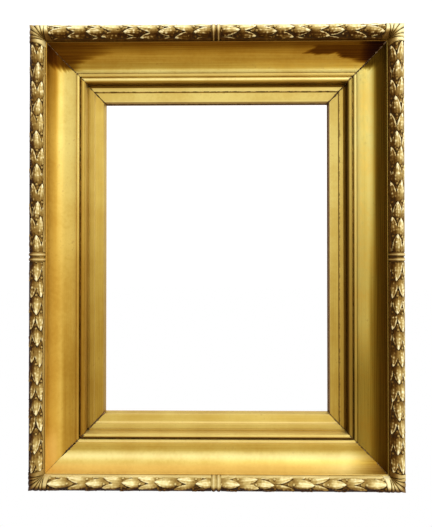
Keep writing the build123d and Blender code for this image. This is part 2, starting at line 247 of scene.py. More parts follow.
class MouldingSizes(bpy.types.PropertyGroup):
    """Widths and heights of the slip and the rail, from the sight edge outward."""

    rabbet_depth: distance("Rabbet depth", "Depth of the picture's recess", 0.013)
    sight_wall_height: distance("Sight wall height", "Height of the wall at the sight edge", 0.0095)
    sight_wall_draft: distance("Sight wall draft", "How far that wall leans out", 0.0008)
    sight_flat_width: distance("Sight flat width", "Width of the sloped flat", 0.0092)
    sight_flat_rise: distance("Sight flat rise", "Rise of the sloped flat", 0.0041)
    step_riser_height: distance("Step height", "Height of the slip's step", 0.0019)
    step_riser_draft: distance("Step draft", "How far the step leans out", 0.0003)
    step_flat_width: distance("Step flat width", "Width of the flat above the step", 0.005)
    step_flat_rise: distance("Step flat rise", "Rise of that flat", 0.0009)
    slip_quirk_width: distance("Slip quirk width", "Width of the slip's fine groove", 0.0006)
    slip_quirk_depth: distance("Slip quirk depth", "Depth of the slip's fine groove", 0.0007)
    slip_list_width: distance("Slip list width", "Width of the slip's outer list", 0.001)
    slip_channel_width: distance("Channel width", "Width of the gap between slip and rail", 0.0012)
    slip_channel_depth: distance("Channel depth", "Depth of that gap below the list", 0.0008)
    slip_tongue_width: distance("Tongue width", "Width of the slip under the rail", 0.0031)
    slip_fit: distance("Slip fit", "Room between the slip and the rabbet wall", 0.0005)
    inner_wall_height: distance("Inner wall height", "Height of the rail's inner wall", 0.0074)
    bead_width: distance("Bead width", "Width of the bead", 0.0055)
    bead_height: distance("Bead height", "Height of the bead", 0.0032)
    quirk_width: distance("Quirk width", "Width of the groove beside the bead", 0.001)
    quirk_depth: distance("Quirk depth", "Depth of the groove beside the bead", 0.0012)
    ridge_width: distance("Ridge width", "Width of the ridge", 0.0039)
    ridge_height: distance("Ridge height", "Rise across the ridge", 0.0019)
    ridge_crown: distance("Ridge crown", "Roundness of the ridge", 0.0006)
    cove_width: distance("Cove width", "Width of the wide hollow", 0.0298)
    cove_rise: distance("Cove rise", "Rise across the wide hollow", 0.0113)
    cove_sag: distance("Cove sag", "Hollowness of the wide hollow", 0.0061)
    fillet_width: distance("Fillet width", "Width of the list beside the rim", 0.001)
    rim_seat_depth: distance("Rim seat depth", "Depth of the rim's seat below the fillet", 0.003)
    rim_width: distance("Rim width", "Width of the rim's seat", 0.0180)
    edge_band_height: distance("Edge band height", "Height of the band outside the rim", 0.004)
    side_inset: distance("Side inset", "Step back below the edge band", 0.002)
    arris_blur: distance("Arris softness", "How far the gesso rounds every edge", 0.00022)
    hollow_blur: distance("Hollow reach", "How far around a hollow is judged", 0.0016)
    hair: distance("Hair", "Set-back that leaves flush nail heads showing", 0.00005)
    crack_width: distance("Mitre crack width", "Half the width of the open mitre cracks", 0.00035)


class OrnamentSizes(bpy.types.PropertyGroup):
    """Sizes of the laurel, its ties and the corner caps."""

    rim_fit: distance("Rim fit", "Room at each side of the rim's seat", 0.0001)
    plinth_height: distance("Plinth height", "Height of the strip the ornament stands on", 0.0018)
    leaf_relief: distance("Leaf relief", "Height of the leaves over the core", 0.0026)
    leaf_pitch: distance("Leaf pitch", "Distance from row to row", 0.0198)
    leaf_length: distance("Leaf length", "Root to tip", 0.0272)
    leaf_width: distance("Leaf width", "Across the belly", 0.0116)
    leaf_lift: share("Leaf lift", "Share of the relief that a leaf keeps at its root", 0.32)
    leaf_roll: bpy.props.FloatProperty(
        name="Leaf roll",
        description="Turn of all leaves about the rim towards the cove",
        default=math.radians(15),
        subtype="ANGLE",
        unit="ROTATION",
    )
    vein_width: share("Vein width", "Width of a vein over half the leaf's width", 0.13)
    vein_depth: distance("Vein depth", "Depth of the middle vein", 0.00034)
    berry_radius: distance("Berry radius", "Radius of a berry", 0.00155)
    berry_place: distance("Berry place", "Distance from a leaf's root to its berry", 0.006)
    berry_lift: distance("Berry lift", "Height of a berry's middle over the core", 0.0007)
    flank_fill: share("Flank fill", "Share of the relief that fills the rim's flanks", 0.97)
    cast_rough: distance("Cast roughness", "Unevenness of the old casting", 0.00011)
    # The ornament's creases fill with grime and painted shade
    crease_reach: distance("Crease reach", "How far around a crease is judged", 0.0011)
    crease_depth: distance("Crease depth", "Depth at which a crease is full of dirt", 0.00036)
    side_leaf_angle: bpy.props.FloatProperty(
        name="Side leaf angle",
        description="Turn of the outermost leaves about the rim",
        default=math.radians(84),
        subtype="ANGLE",
        unit="ROTATION",
    )
    tie_length: distance("Tie length", "Length of a ribbon tie along the rim", 0.011)
    tie_relief: distance("Tie relief", "Height of the tie's reeds", 0.0012)
    cap_reach: distance("Cap reach", "How far a corner cap runs along each side", 0.007)
    cap_slant: distance("Cap slant", "How far a cap's ends are cut back at the outer edge", 0.0036)
    cap_relief: distance("Cap relief", "Depth of the cap's grooves", 0.0019)
    cap_groove_width: distance("Cap groove width", "Width of the grooves", 0.0009)
    cap_fan_reeds: bpy.props.IntProperty(
        name="Fan reeds", description="Folds of the fan over each mitre", default=5, min=2, max=12
    )


class HardwareSizes(bpy.types.PropertyGroup):
    """Sizes of the screw eyes, rings, turn buttons and screws."""

    eye_wire_radius: distance("Eye wire radius", "Radius of the screw eye's wire", 0.0015)
    eye_hole_radius: distance("Eye hole radius", "Radius of the screw eye's hole", 0.0035)
    button_pivot_radius: distance("Button pivot radius", "Radius of a turn button at its screw", 0.005)
    button_tip_radius: distance("Button tip radius", "Radius of a turn button at its tip", 0.0032)
    button_hole_radius: distance("Button hole radius", "Radius of a turn button's hole", 0.00175)
    button_edge: distance("Button edge", "Roundness of a turn button's edges", 0.0003)
    screw_shank_radius: distance("Screw shank radius", "Radius of a screw's shank", 0.0016)
    screw_shank_length: distance("Screw shank length", "Length of a screw in the wood", 0.016)
    screw_head_radius: distance("Screw head radius", "Radius of a screw's head", 0.0034)
    screw_head_height: distance("Screw head height", "Height of a screw's head", 0.0022)
    screw_slot_width: distance("Screw slot width", "Width of a screw's slot", 0.0008)
    screw_slot_depth: distance("Screw slot depth", "Depth of a screw's slot", 0.0009)


class FinishColours(bpy.types.PropertyGroup):
    """Colours of the gilding, wood and metal."""

    gold_pale: colour("Pale gold", "Burnished high parts", (0.88, 0.72, 0.235))
    gold_deep: colour("Deep gold", "Matt gold in the hollows", (0.76, 0.565, 0.15))
    gold_cool: colour("Cool gold", "High parts of the right stile", (0.74, 0.64, 0.215))
    # Also the colour of the painted highlights on the rails and slip
    gold_worn_and_lit: colour("Worn gold", "Rubbed arrises of the mouldings", (1.0, 0.87, 0.45))
    rim_pale: colour("Pale rim gold", "High parts of the ornament", (0.88, 0.755, 0.365))
    rim_deep: colour("Deep rim gold", "Low parts of the ornament", (0.71, 0.575, 0.235))
    # Also the colour of the painted highlights on the ornament
    rim_worn_and_lit: colour("Worn rim gold", "Rubbed tips and edges of the ornament", (1.0, 0.915, 0.60))
    bole: colour("Bole", "Warm clay under thin gold", (0.42, 0.17, 0.04))
    # The brown glaze also carries the painted shade on the rails and slip
    glaze: colour("Glaze", "Brown glaze over the rails and slip, at its full depth", (0.18, 0.096, 0.016))
    amber: colour("Amber", "Clear warm wash over the rails and slip, at its full depth", (0.55, 0.22, 0.03))
    # The dark glaze of the right stile's painted shade, at its full depth
    shade: colour("Shade", "Dark glaze over the right stile, at its full depth", (0.105, 0.062, 0.010))
    # The ornament's brown glaze, which carries its painted shade
    rim_glaze_and_shade: colour("Rim glaze", "Brown glaze over the ornament, at its full depth", (0.20, 0.120, 0.036))
    # The dark brown of the grime and of the painted shade in hollows
    grime_and_shade: colour("Grime", "Brown dirt in the grooves", (0.040, 0.019, 0.005))
    stain: colour("Stain", "Brown toning over the gold", (0.16, 0.075, 0.018))
    ochre: colour("Ochre", "Wash on the plain sides", (0.42, 0.25, 0.07))
    pine_pale: colour("Pale pine", "Early wood of the bare back", (0.55, 0.36, 0.19))
    pine_dark: colour("Dark pine", "Late wood of the bare back", (0.34, 0.18, 0.08))
    brass: colour("Brass", "Eyes, rings, buttons and screws", (0.60, 0.42, 0.17))
    tarnish: colour("Tarnish", "Dull brass", (0.20, 0.13, 0.06))
    steel: colour("Steel", "Nail heads", (0.30, 0.29, 0.28))
    rust: colour("Rust", "Old nail heads", (0.16, 0.07, 0.035))


class StageSettings(bpy.types.PropertyGroup):
    """Camera, lamps and floor."""

    camera_place: bpy.props.FloatVectorProperty(
        name="Camera place",
        description="Where the camera stands",
        default=(0.00468, -0.53293, -0.01072),
        subtype="XYZ",
        unit="LENGTH",
        size=3,
        precision=5,
    )
    camera_aim: bpy.props.FloatVectorProperty(
        name="Camera direction",
        description="Where the camera looks",
        default=(-0.01006, 0.99993, 0.00727),
        subtype="DIRECTION",
        size=3,
        precision=5,
    )
    focal_share: share("Focal share", "Focal length over the picture's long side", 433 / 527)
    key_watts: share("Key lamp", "Power of the soft lamp at the upper right", 2.0)
    high_watts: share("High lamp", "Power of the lamp that shades the laurel", 25.0)
    sky_strength: share("Surround", "Strength of the studio's surround", 1.25)
    floor_drop: distance("Floor level", "Height of the floor", -0.75)
    floor_back: distance("Floor back edge", "Where the floor ends behind the frame", 0.62)
    floor_reach: distance("Floor reach", "How far the floor runs to the front and sides", 4.0)
    floor_colour: colour("Floor colour", "Plain pale floor", (0.80, 0.79, 0.77))


def stations(m):
    """Corners of the slip and rail sections as (out, height), each worked out from the one before."""
    s = SimpleNamespace()
    s.seat = m.rabbet_depth
    s.sight_arris = complex(m.sight_wall_draft, m.rabbet_depth + m.sight_wall_height)
    s.sight_flat = s.sight_arris + complex(m.sight_flat_width, m.sight_flat_rise)
    s.step = s.sight_flat + complex(m.step_riser_draft, m.step_riser_height)
    s.step_end = s.step + complex(m.step_flat_width, m.step_flat_rise)
    s.list_start = s.step_end + m.slip_quirk_width
    s.list_end = s.list_start + m.slip_list_width
    s.wall_out = s.list_end.real + m.slip_channel_width
    s.tongue_height = s.step_end.imag - m.slip_channel_depth
    s.tongue_out = s.wall_out + m.slip_tongue_width
    s.rabbet_out = s.tongue_out + m.slip_fit
    s.bead_start = complex(s.wall_out, s.tongue_height + m.inner_wall_height)
    s.bead_end = s.bead_start + m.bead_width
    s.ridge_start = s.bead_end + m.quirk_width
    s.ridge_end = s.ridge_start + complex(m.ridge_width, m.ridge_height)
    s.cove_end = s.ridge_end + complex(m.cove_width, m.cove_rise)
    s.fillet_end = s.cove_end + m.fillet_width
    s.rim_centre = s.fillet_end + m.rim_width / 2
    s.rim_seat = s.fillet_end.imag - m.rim_seat_depth
    s.outer_out = s.fillet_end.real + m.rim_width
    s.side_out = s.outer_out - m.side_inset
    return s


def arc(start, middle, end, count=48):
    """Points on the circle through three points, which are complex numbers.

    The centre c solves 2(m-s).c = m.m-s.s and 2(e-s).c = e.e-s.s, and the angle runs evenly from the start to
    the end.
    """
    points = np.array([start, middle, end])
    flat = np.stack([points.real, points.imag], axis=-1)
    centre = np.linalg.solve(2 * (flat[1:] - flat[0]), (flat[1:] ** 2).sum(1) - (flat[0] ** 2).sum())
    centre = complex(*centre)
    angles = np.unwrap(np.angle(points - centre))
    return centre + abs(start - centre) * np.exp(1j * np.linspace(angles[0], angles[2], count))


def blurred_grid(field, steps, width):
    """A grid of heights smoothed by a bell of the given width, by the Fourier series of its mirrored rows."""
    for axis, step in enumerate(steps):
        mirrored = np.concatenate([field, np.flip(field, axis)], axis)
        waves = np.fft.fftfreq(mirrored.shape[axis], step)
        bell = np.exp(-2 * (np.pi * width * waves) ** 2)
        smooth = np.fft.ifft(np.fft.fft(mirrored, axis=axis) * np.expand_dims(bell, 1 - axis), axis=axis)
        field = np.split(smooth.real, 2, axis)[0]
    return field


def blurred(line, step, width):
    """A closed line of even steps, smoothed by a bell of the given width through its Fourier series."""
    waves = np.fft.fftfreq(len(line), step)
    return np.fft.ifft(np.fft.fft(line) * np.exp(-2 * (np.pi * width * waves) ** 2))


def softened(outline, count, arris_blur, hollow_blur):
    """A section with its edges rounded as gesso rounds them.

    The closed outline is walked in even steps and smoothed. Then count points are kept, closer together
    where the line turns. Hollow is how far the line lies under a much smoother copy of itself, and the wear
    and highlight value how far over.
    """
    step = WALK_STEP
    closed = np.append(outline, outline[0])
    length = np.concatenate([[0], np.cumsum(np.abs(np.diff(closed)))])
    walk = np.linspace(0, length[-1], int(length[-1] / step), endpoint=False)
    line = np.interp(walk, length, closed.real) + 1j * np.interp(walk, length, closed.imag)
    soft = blurred(line, step, arris_blur)
    ahead = np.roll(soft, -1) - np.roll(soft, 1)
    outward = 1j * ahead / np.abs(ahead)
    hollow = ((blurred(line, step, hollow_blur) - soft) * outward.conj()).real
    turning = np.abs(np.angle(np.roll(ahead, -3) / np.roll(ahead, 3)))
    weight = np.cumsum(6 + 45 * turning / turning.max() + 260 * turning)
    picks = np.searchsorted(weight, np.linspace(weight[0], weight[-1], count, endpoint=False))
    return SimpleNamespace(
        out=soft[picks].real,
        height=soft[picks].imag,
        hollow=np.clip(hollow[picks] / FULL_HOLLOW, 0, 1),
        rub=np.clip(-hollow[picks] / FULL_RUB, 0, 1),
        lean=outward[picks].real,
        walk=walk[picks],
    )


def slip_outline(s, m):
    """The slip's section: sight wall, sloped flat, step, fine groove and list, channel and tongue."""
    back = s.seat + m.hair
    groove = s.step_end - 1j * m.slip_quirk_depth
    return np.array(
        [
            complex(s.tongue_out, back),
            complex(0, back),
            s.sight_arris,
            s.sight_flat,
            s.step,
            s.step_end,
            groove,
            groove + m.slip_quirk_width,
            s.list_start,
            s.list_end,
            complex(s.list_end.real, s.tongue_height - m.hair),
            complex(s.tongue_out, s.tongue_height - m.hair),
        ]
    )


def rail_outline(s, m):
    """The rail's section: rabbet, lip, bead, quirk, ridge, cove, fillet, rim seat and plain side."""
    bead_top = s.bead_start + complex(m.bead_width / 2, m.bead_height)
    ridge_top = s.ridge_start + complex(m.ridge_width / 2, m.ridge_height + m.ridge_crown)
    chord = s.cove_end - s.ridge_end
    cove_low = (s.ridge_end + s.cove_end) / 2 - 1j * chord / abs(chord) * m.cove_sag
    quirk = 1j * m.quirk_depth
    lip = 1j * s.tongue_height
    side_out = s.side_out - m.hair
    band_low = s.rim_seat - m.edge_band_height
    corners = [
        [complex(s.rabbet_out, 0), s.rabbet_out + lip, s.wall_out + lip],
        arc(s.bead_start, bead_top, s.bead_end),
        [s.bead_end - quirk, s.ridge_start - quirk],
        arc(s.ridge_start, ridge_top, s.ridge_end),
        arc(s.ridge_end, cove_low, s.cove_end)[1:],
        [s.fillet_end, complex(s.fillet_end.real, s.rim_seat), complex(s.outer_out, s.rim_seat)],
        [complex(s.outer_out, band_low), complex(side_out, band_low - m.side_inset), complex(side_out, 0)],
    ]
    return np.concatenate(corners)


def on_side(side, along, out, height):
    """Points of one side in the frame's axes: along from its middle, out from the sight edge, and forward."""
    turn, _, sight_half = SIDES[side]
    c, s = math.cos(math.radians(turn)), math.sin(math.radians(turn))
    along, out, height = np.broadcast_arrays(along, out + sight_half, height)
    return np.stack([along * c + out * s, -height, out * c - along * s], axis=-1)


def skin(name, grid, materials, ring=False, zones=None, values=None, run=None):
    """A closed skin over a grid of points, whose rows go along a path and whose columns go round a profile.

    Neighbours make four-sided faces, the last column joins the first, and each end gets a flat cap unless the
    rows make a ring. The faces are turned outwards by the sign of the volume that they enclose.
    """
    rows, cols = grid.shape[:2]
    index = np.arange(rows * cols).reshape(rows, cols)
    near = np.concatenate([index, index[:1]]) if ring else index
    after = np.roll(near, -1, axis=1)
    quads = np.stack([near[:-1], near[1:], after[1:], after[:-1]], axis=-1).reshape(-1, 4)
    points = grid.reshape(-1, 3)
    centred = points - points.mean(0)
    a, b, c, d = (centred[quads[:, k]] for k in range(4))
    volume = (a * (np.cross(b, c) + np.cross(c, d))).sum()
    faces = quads.tolist()
    if not ring:
        faces += [index[0].tolist(), index[-1][::-1].tolist()]
    if volume < 0:
        faces = [face[::-1] for face in faces]
    mesh = bpy.data.meshes.new(name)
    mesh.from_pydata(points.tolist(), [], faces)
    for material in materials:
        mesh.materials.append(material)
    if zones is not None:
        slots = np.tile(zones, len(quads) // cols).tolist() + [int(zones[-1])] * (0 if ring else 2)
        mesh.polygons.foreach_set("material_index", np.array(slots, dtype=np.int32))
    for key, value in (values or {}).items():
        attribute = mesh.attributes.new(key, "FLOAT", "POINT")
        full = np.broadcast_to(value, (rows, cols)).astype(np.float32).ravel()
        attribute.data.foreach_set("value", full)
    if run is not None:
        corners = np.zeros(len(mesh.loops), dtype=np.int32)
        mesh.loops.foreach_get("vertex_index", corners)
        u, v = np.broadcast_arrays(*run)
        flat = np.stack([u.ravel()[corners], v.ravel()[corners]], axis=-1).astype(np.float32)
        mesh.uv_layers.new(name="run").data.foreach_set("uv", flat.ravel())
    mesh.shade_smooth()
    mesh.set_sharp_from_angle(angle=math.radians(50))
    mesh.update()
    piece = bpy.data.objects.new(name, mesh)
    bpy.context.scene.collection.objects.link(piece)
    return piece


def dress(piece, node):
    """The piece stands for a CAD node, whose part it hides, and rides on its body."""
    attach(piece, BODY_OF[node])
    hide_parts(node)
    return piece


class Finish:
    """A material under construction: each call adds a node and returns its output for the next call."""

    def __init__(self, name):
        self.material = bpy.data.materials.new(name)
        self.material.use_nodes = True
        self.tree = self.material.node_tree
        self.surface = self.tree.nodes["Principled BSDF"]

    def feed(self, socket, value):
        if isinstance(value, bpy.types.NodeSocket):
            self.tree.links.new(value, socket)
        elif hasattr(value, "__len__") and len(value) == 3 and socket.type == "RGBA":
            socket.default_value = (*value, 1)
        else:
            socket.default_value = value

    def add(self, kind, inputs, output=0, **settings):
        node = self.tree.nodes.new("ShaderNode" + kind)
        for key, value in settings.items():
            setattr(node, key, value)
        for key, value in inputs.items():
            self.feed(node.inputs[key], value)
        return node.outputs[output]

    def place(self):
        return self.add("TexCoord", {}, "Object")

    def run(self):
        return self.add("UVMap", {}, uv_map="run")

    def value(self, name):
        return self.add("Attribute", {}, "Fac", attribute_name=name)

    def stretch(self, vector, scale):
        return self.add("Mapping", {"Vector": vector, "Scale": scale})

    def noise(self, vector, scale, detail=3.0, roughness=0.5):
        inputs = {"Vector": vector, "Scale": scale, "Detail": detail, "Roughness": roughness}
        return self.add("TexNoise", inputs)

    def ramp(self, value, low, high, to_low=0.0, to_high=1.0):
        inputs = {"Value": value, "From Min": low, "From Max": high, "To Min": to_low, "To Max": to_high}
        return self.add("MapRange", inputs, interpolation_type="SMOOTHSTEP")

    def sum(self, a, b):
        return self.add("Math", {0: a, 1: b}, operation="ADD", use_clamp=True)

    def times(self, a, b):
        return self.add("Math", {0: a, 1: b}, operation="MULTIPLY")

    def blend(self, factor, a, b):
        return self.add("Mix", {0: factor, 6: a, 7: b}, 2, data_type="RGBA")

    def glaze(self, colour, tint, depth):
        """A clear coat that multiplies the colour by the tint raised to the coat's depth."""
        coat = self.add("Gamma", {"Color": tint, "Gamma": depth})
        return self.add("Mix", {0: 1.0, 6: colour, 7: coat}, 2, data_type="RGBA", blend_type="MULTIPLY")

    def bump(self, height, depth, strength=1.0, normal=None):
        inputs = {"Height": height, "Distance": depth, "Strength": strength}
        if normal is not None:
            inputs["Normal"] = normal
        return self.add("Bump", inputs)

    def finish(self, **sockets):
        for key, value in sockets.items():
            self.feed(self.surface.inputs[key.replace("_", " ").title()], value)
        return self.material


def gilding(name, c, pale, deep, worn_and_lit, glaze, hollow_start, satin=0.0, metal=1.0, streaked=False):
    """Old gilding: pale and deep gold in soft blotches, bole where it is thin, glaze with painted shade over
    it, and grime mixed with painted shade.

    Four values on the mesh steer it: grime and painted shade follow the hollow value, bright worn gold and
    painted highlights follow the wear and highlight value, an amber wash follows warm, and the depth of the
    brown glaze, which paints shade, follows the shade value, in fine streaks on the streaked lengths. Deep
    glaze and grime are duller and rougher than bare gold.
    """
    f = Finish(name)
    place = f.place()
    blotch = f.noise(place, 26.0, 3.0)
    mottle = f.noise(place, 240.0, 4.0, 0.6)
    speck = f.noise(place, 900.0, 2.0)
    hollow = f.value("hollow")
    shade_depth = f.value("shade_depth")
    rub = f.value("rub")
    patches = f.sum(f.times(blotch, 0.6), f.times(mottle, 0.4))
    gold = f.blend(f.ramp(patches, 0.35, 0.65), deep, pale)
    thin = f.times(f.ramp(mottle, 0.56, 0.74), f.ramp(blotch, 0.45, 0.65))
    gold = f.blend(f.times(thin, 0.35 if streaked else 0.12), gold, c.bole)
    gold = f.blend(f.times(rub, 0.5 if streaked else 0.85), gold, worn_and_lit)
    brushed = f.noise(f.stretch(f.run(), (9.0, 1300.0, 1.0)), 1.0, 3.0) if streaked else mottle
    # The brown glaze paints shade, to the depth that the mesh gives, in fine streaks
    depth = f.times(shade_depth, f.ramp(brushed, 0.3, 0.7, 0.86, 1.14))
    gold = f.glaze(f.glaze(gold, glaze, depth), c.amber, f.value("warm"))
    # Grime and painted shade gather where the hollow value is high
    shade_and_grime = f.sum(hollow, f.ramp(mottle, 0.35, 0.65, -0.14, 0.10))
    dirt = f.ramp(shade_and_grime, hollow_start, hollow_start + 0.45)
    gold = f.blend(dirt, gold, c.grime_and_shade)
    dull = f.sum(f.times(depth, 0.2), dirt)
    rough = f.sum(f.ramp(mottle, 0.3, 0.7, 0.30 + satin, 0.42 + satin), f.times(dull, 0.25))
    metallic = f.times(f.ramp(dull, 0.0, 1.0, metal, 0.2 * metal), f.ramp(rub, 0.0, 1.0, 1.0, 0.4))
    matt = f.sum(f.times(depth, 0.6), dirt)
    f.feed(f.surface.inputs["Specular IOR Level"], f.ramp(matt, 0.0, 1.0, 0.4, 0.05))
    waves = f.bump(blotch, 0.0012, 0.35)
    grain = f.bump(mottle, 0.00025, 0.30, waves)
    pits = f.bump(speck, 0.00006, 0.35, grain)
    return f.finish(base_color=gold, roughness=rough, metallic=metallic, normal=pits)


def rail_gilding(name, c, pale, glaze, hollow_start, satin=0.0):
    """The streaked gilding of the rails and slip."""
    return gilding(name, c, pale, c.gold_deep, c.gold_worn_and_lit, glaze, hollow_start, satin, streaked=True)


def rim_gilding(name, c, hollow_start):
    """The paler, half-metallic gilding of the laurel, ties and caps."""
    return gilding(name, c, c.rim_pale, c.rim_deep, c.rim_worn_and_lit, c.rim_glaze_and_shade, hollow_start, 0.10, 0.5)


def ochre_wash(c):
    """Thin ochre paint over the plain sides, rubbed to brown in streaks along the run."""
    f = Finish("ochre_wash")
    streak = f.noise(f.stretch(f.run(), (14.0, 420.0, 1.0)), 1.0, 4.0)
    cloud = f.noise(f.place(), 40.0, 3.0)
    paint = f.blend(f.ramp(streak, 0.42, 0.72), c.ochre, c.stain)
    paint = f.blend(f.ramp(cloud, 0.5, 0.75, 0.0, 0.5), paint, c.grime_and_shade)
    rough = f.ramp(streak, 0.3, 0.7, 0.55, 0.75)
    return f.finish(base_color=paint, roughness=rough, normal=f.bump(streak, 0.0003, 0.4))


def bare_pine(c):
    """Bare pine on the back and in the rabbet: grain lines along the run and a brown age tone."""
    f = Finish("bare_pine")
    run = f.run()
    bend = f.noise(f.stretch(run, (5.0, 40.0, 1.0)), 1.0, 2.0)
    inputs = {"Vector": f.stretch(run, (1.2, 160.0, 1.0)), "Scale": 1.0, "Distortion": 2.2, "Detail": 2.0}
    rings = f.add("TexWave", inputs, "Fac", bands_direction="Y")
    fibre = f.noise(f.stretch(run, (30.0, 2200.0, 1.0)), 1.0, 3.0)
    grain = f.sum(f.times(rings, 0.7), f.times(bend, 0.3))
    wood = f.blend(f.ramp(grain, 0.2, 0.8), c.pine_pale, c.pine_dark)
    wood = f.blend(f.ramp(fibre, 0.45, 0.75, 0.0, 0.45), wood, c.pine_dark)
    rough = f.ramp(fibre, 0.3, 0.7, 0.6, 0.8)
    return f.finish(base_color=wood, roughness=rough, normal=f.bump(fibre, 0.0002, 0.5))


def old_metal(name, bright, dull, metal):
    """Handled metal: bright where it is rubbed, dull in soft patches, with fine scratches."""
    f = Finish(name)
    place = f.place()
    patch = f.noise(place, 180.0, 3.0)
    scratch = f.noise(f.stretch(place, (900.0, 900.0, 90.0)), 1.0, 2.0)
    tint = f.blend(f.ramp(patch, 0.38, 0.68), bright, dull)
    rough = f.ramp(patch, 0.3, 0.7, 0.28, 0.5)
    return f.finish(base_color=tint, roughness=rough, metallic=metal, normal=f.bump(scratch, 0.00008, 0.4))


def ease(x, start, end):
    """A smooth step from 0 at the start to 1 at the end, which may be the lower of the two."""
    t = np.clip((x - start) / (end - start), 0, 1)
    return t * t * (3 - 2 * t)


def bell(x, middle, width):
    """A smooth bump of height 1 at the middle, which falls off over the width."""
    return np.exp(-(((x - middle) / width) ** 2))


def highest(*fields):
    """The highest of several fields at each place."""
    return reduce(np.maximum, fields)


def run_places(run_half):
    """Even places from -1 to 1 along a mitred length, closer together at its ends."""
    near_end = np.array(END_ROWS) / run_half
    middle = np.linspace(-1 + EVEN_ROWS_START / run_half, 1 - EVEN_ROWS_START / run_half, 96)
    return np.concatenate([near_end - 1, middle, (1 - near_end)[::-1]])


def mitred_grid(side, section, open_share, crack):
    """A section carried along one side, with its ends on the mitres.

    At a place t the point stands t (half run + out) along, and an open mitre draws the front back by a gap
    that two waves make ragged and that closes again towards the rim. The dirt in the mitre is a bell of the
    distance to it.
    """
    run_half = SIDES[side][1]
    places = run_places(run_half)
    ragged = np.clip(1 + 0.55 * np.sin(1900 * section.out) + 0.4 * np.sin(4700 * section.out + 1), 0.2, 2)
    closed = np.where(places < 0, *MITRES_CLOSED[side])[:, None] * ease(section.out, *MITRES_CLOSE)
    gap = crack * np.where(places < 0, *MITRES[side])[:, None] * ragged * (1 - closed)
    reach = run_half + section.out - gap * open_share
    along = places[:, None] * reach
    dirt = bell(reach - np.abs(along), 0, 2 * gap) * open_share
    return along, on_side(side, along, section.out, section.height), dirt


def stile_darkening(side, z):
    """Share of the darkening, which grows from the top of a stile to its foot."""
    return ease(z, *DARKENING_FALL) * (side in ("left", "right"))


def top_dark_patches(across, x):
    """Depth of the dark patches on the top rail: left end, a brushed one along the outer edge and right end.

    Waves across the cove make the edges of the first two ragged, as the strokes of a brush do.
    """
    strokes = np.sin(41 * across) + np.sin(97 * across + 2)
    edge = np.interp(across, *LEFT_DARK_EDGE)
    fade = np.interp(across, *LEFT_DARK_FADE)
    left_end = 1.2 * ease(-x - 0.003 * strokes, edge - fade, edge + fade) * ease(across, 0.03, 0.2)
    ragged = across + 0.14 * ease(x, 0.136, 0.146) + 0.020 * np.sin(170 * x) + 0.012 * np.sin(450 * x)
    start = x + 0.0012 * strokes - 0.012 * ease(across, 0.68, 0.85)
    brushed = 1.4 * ease(start, 0.0950, 0.1010) * ease(ragged, 0.65, 0.73)
    brushed = brushed * ease(across, 1.02, 0.90)
    right_end = [depth * ease(x, *run) * ease(across, *shares) for depth, run, shares in TOP_PATCHES]
    return highest(left_end, brushed, *right_end)


def rail_painted_shade(side, across, place):
    """Depth of the painted shade, in the brown glaze, on a rail, where across runs from 0 to 1 over the cove.

    Each side has its own depths across. The stiles have darker patches and the painted shadow of the top rail
    on their top ends, the bottom darkens to its right end, and the top has its dark patches.
    """
    x, z = place[..., 0], place[..., 2]
    # Painted shade across the cove, deepest on the steep parts that face away from the upper right
    depths, places = COVE_PAINTED_SHADE[side]
    shade_depth = np.interp(across, places, depths)
    if side == "right":
        low_depths, low_places = COVE_PAINTED_SHADE["right_low"]
        shade_depth = shade_depth + (np.interp(across, low_places, low_depths) - shade_depth) * ease(z, *RIGHT_LOW_FALL)
    for depth, heights, shares in STILE_PATCHES.get(side, ()):
        shade_depth = shade_depth + depth * ease(z, *heights) * ease(across, *shares)
    # Painted shadow of the top rail on the top end of each stile
    if side in STILE_TOP_SHADOWS:
        heights, shares = STILE_SHADOW_PLACE
        shade_depth = np.maximum(shade_depth, STILE_TOP_SHADOWS[side] * ease(z, *heights) * ease(across, *shares))
    if side == "bottom":
        shade_depth = shade_depth + 0.85 * ease(x + 0.004 + 0.006 * ease(across, 0.55, 0.95), 0.150, 0.207)
    if side == "top":
        shade_depth = np.maximum(shade_depth, top_dark_patches(across, x))
    return np.where(across > COVE_END, FILLET_PAINTED_SHADE[side], shade_depth)


def rail_painted_highlight(side, across, z):
    """Share of painted highlight in the cove: in bands along the bottom rail, and at the foot of the left
    stile.
    """
    in_cove = across < COVE_END
    if side == "bottom":
        bands = 0.55 * bell(across, 0.52, 0.10) + 0.6 * ease(across, 0.68, 0.86) * in_cove
        return bands + 0.9 * bell(across, -0.04, 0.05)
    if side == "left":
        return 0.7 * ease(z, -0.185, -0.215) * ease(across, 0.60, 0.80) * in_cove
    return 0.0


def warmth(side, across, place):
    """Depth of the amber wash, which goes from the upper depths to the lower ones down a stile.

    Along the bottom rail it fades to the right.
    """
    x, z = place[..., 0], place[..., 2]
    shares, upper, lower = WARMTH[side]
    low = ease(z, *WARMTH_FALL)
    wash = np.interp(across, shares, upper) * (1 - low) + np.interp(across, shares, lower) * low
    return wash * (1 - 0.8 * ease(x, 0.09, 0.17) * (side == "bottom"))


def wall_painted_shade(side, lean):
    """Depth of the painted shade on small walls, which grows with their lean away from upper right."""
    depth, low, high = SMALL_SHADE[side]
    turn = math.radians(SIDES[side][0])
    toward = 0.66 * math.sin(turn) + 0.75 * math.cos(turn)
    return depth * ease(-lean * toward, low, high)


def rim_painted_shade(side, angle):
    """Depth of the painted shade round the rim of one side, by the angle from the inner flank to the outer
    one.

    It is deepest on the flank away from the upper right. Below 0 it takes away from the painted shade that
    lies in the low parts.
    """
    depths, places = RIM_PAINTED_SHADE[side]
    return np.interp(np.sin(angle), places, depths)


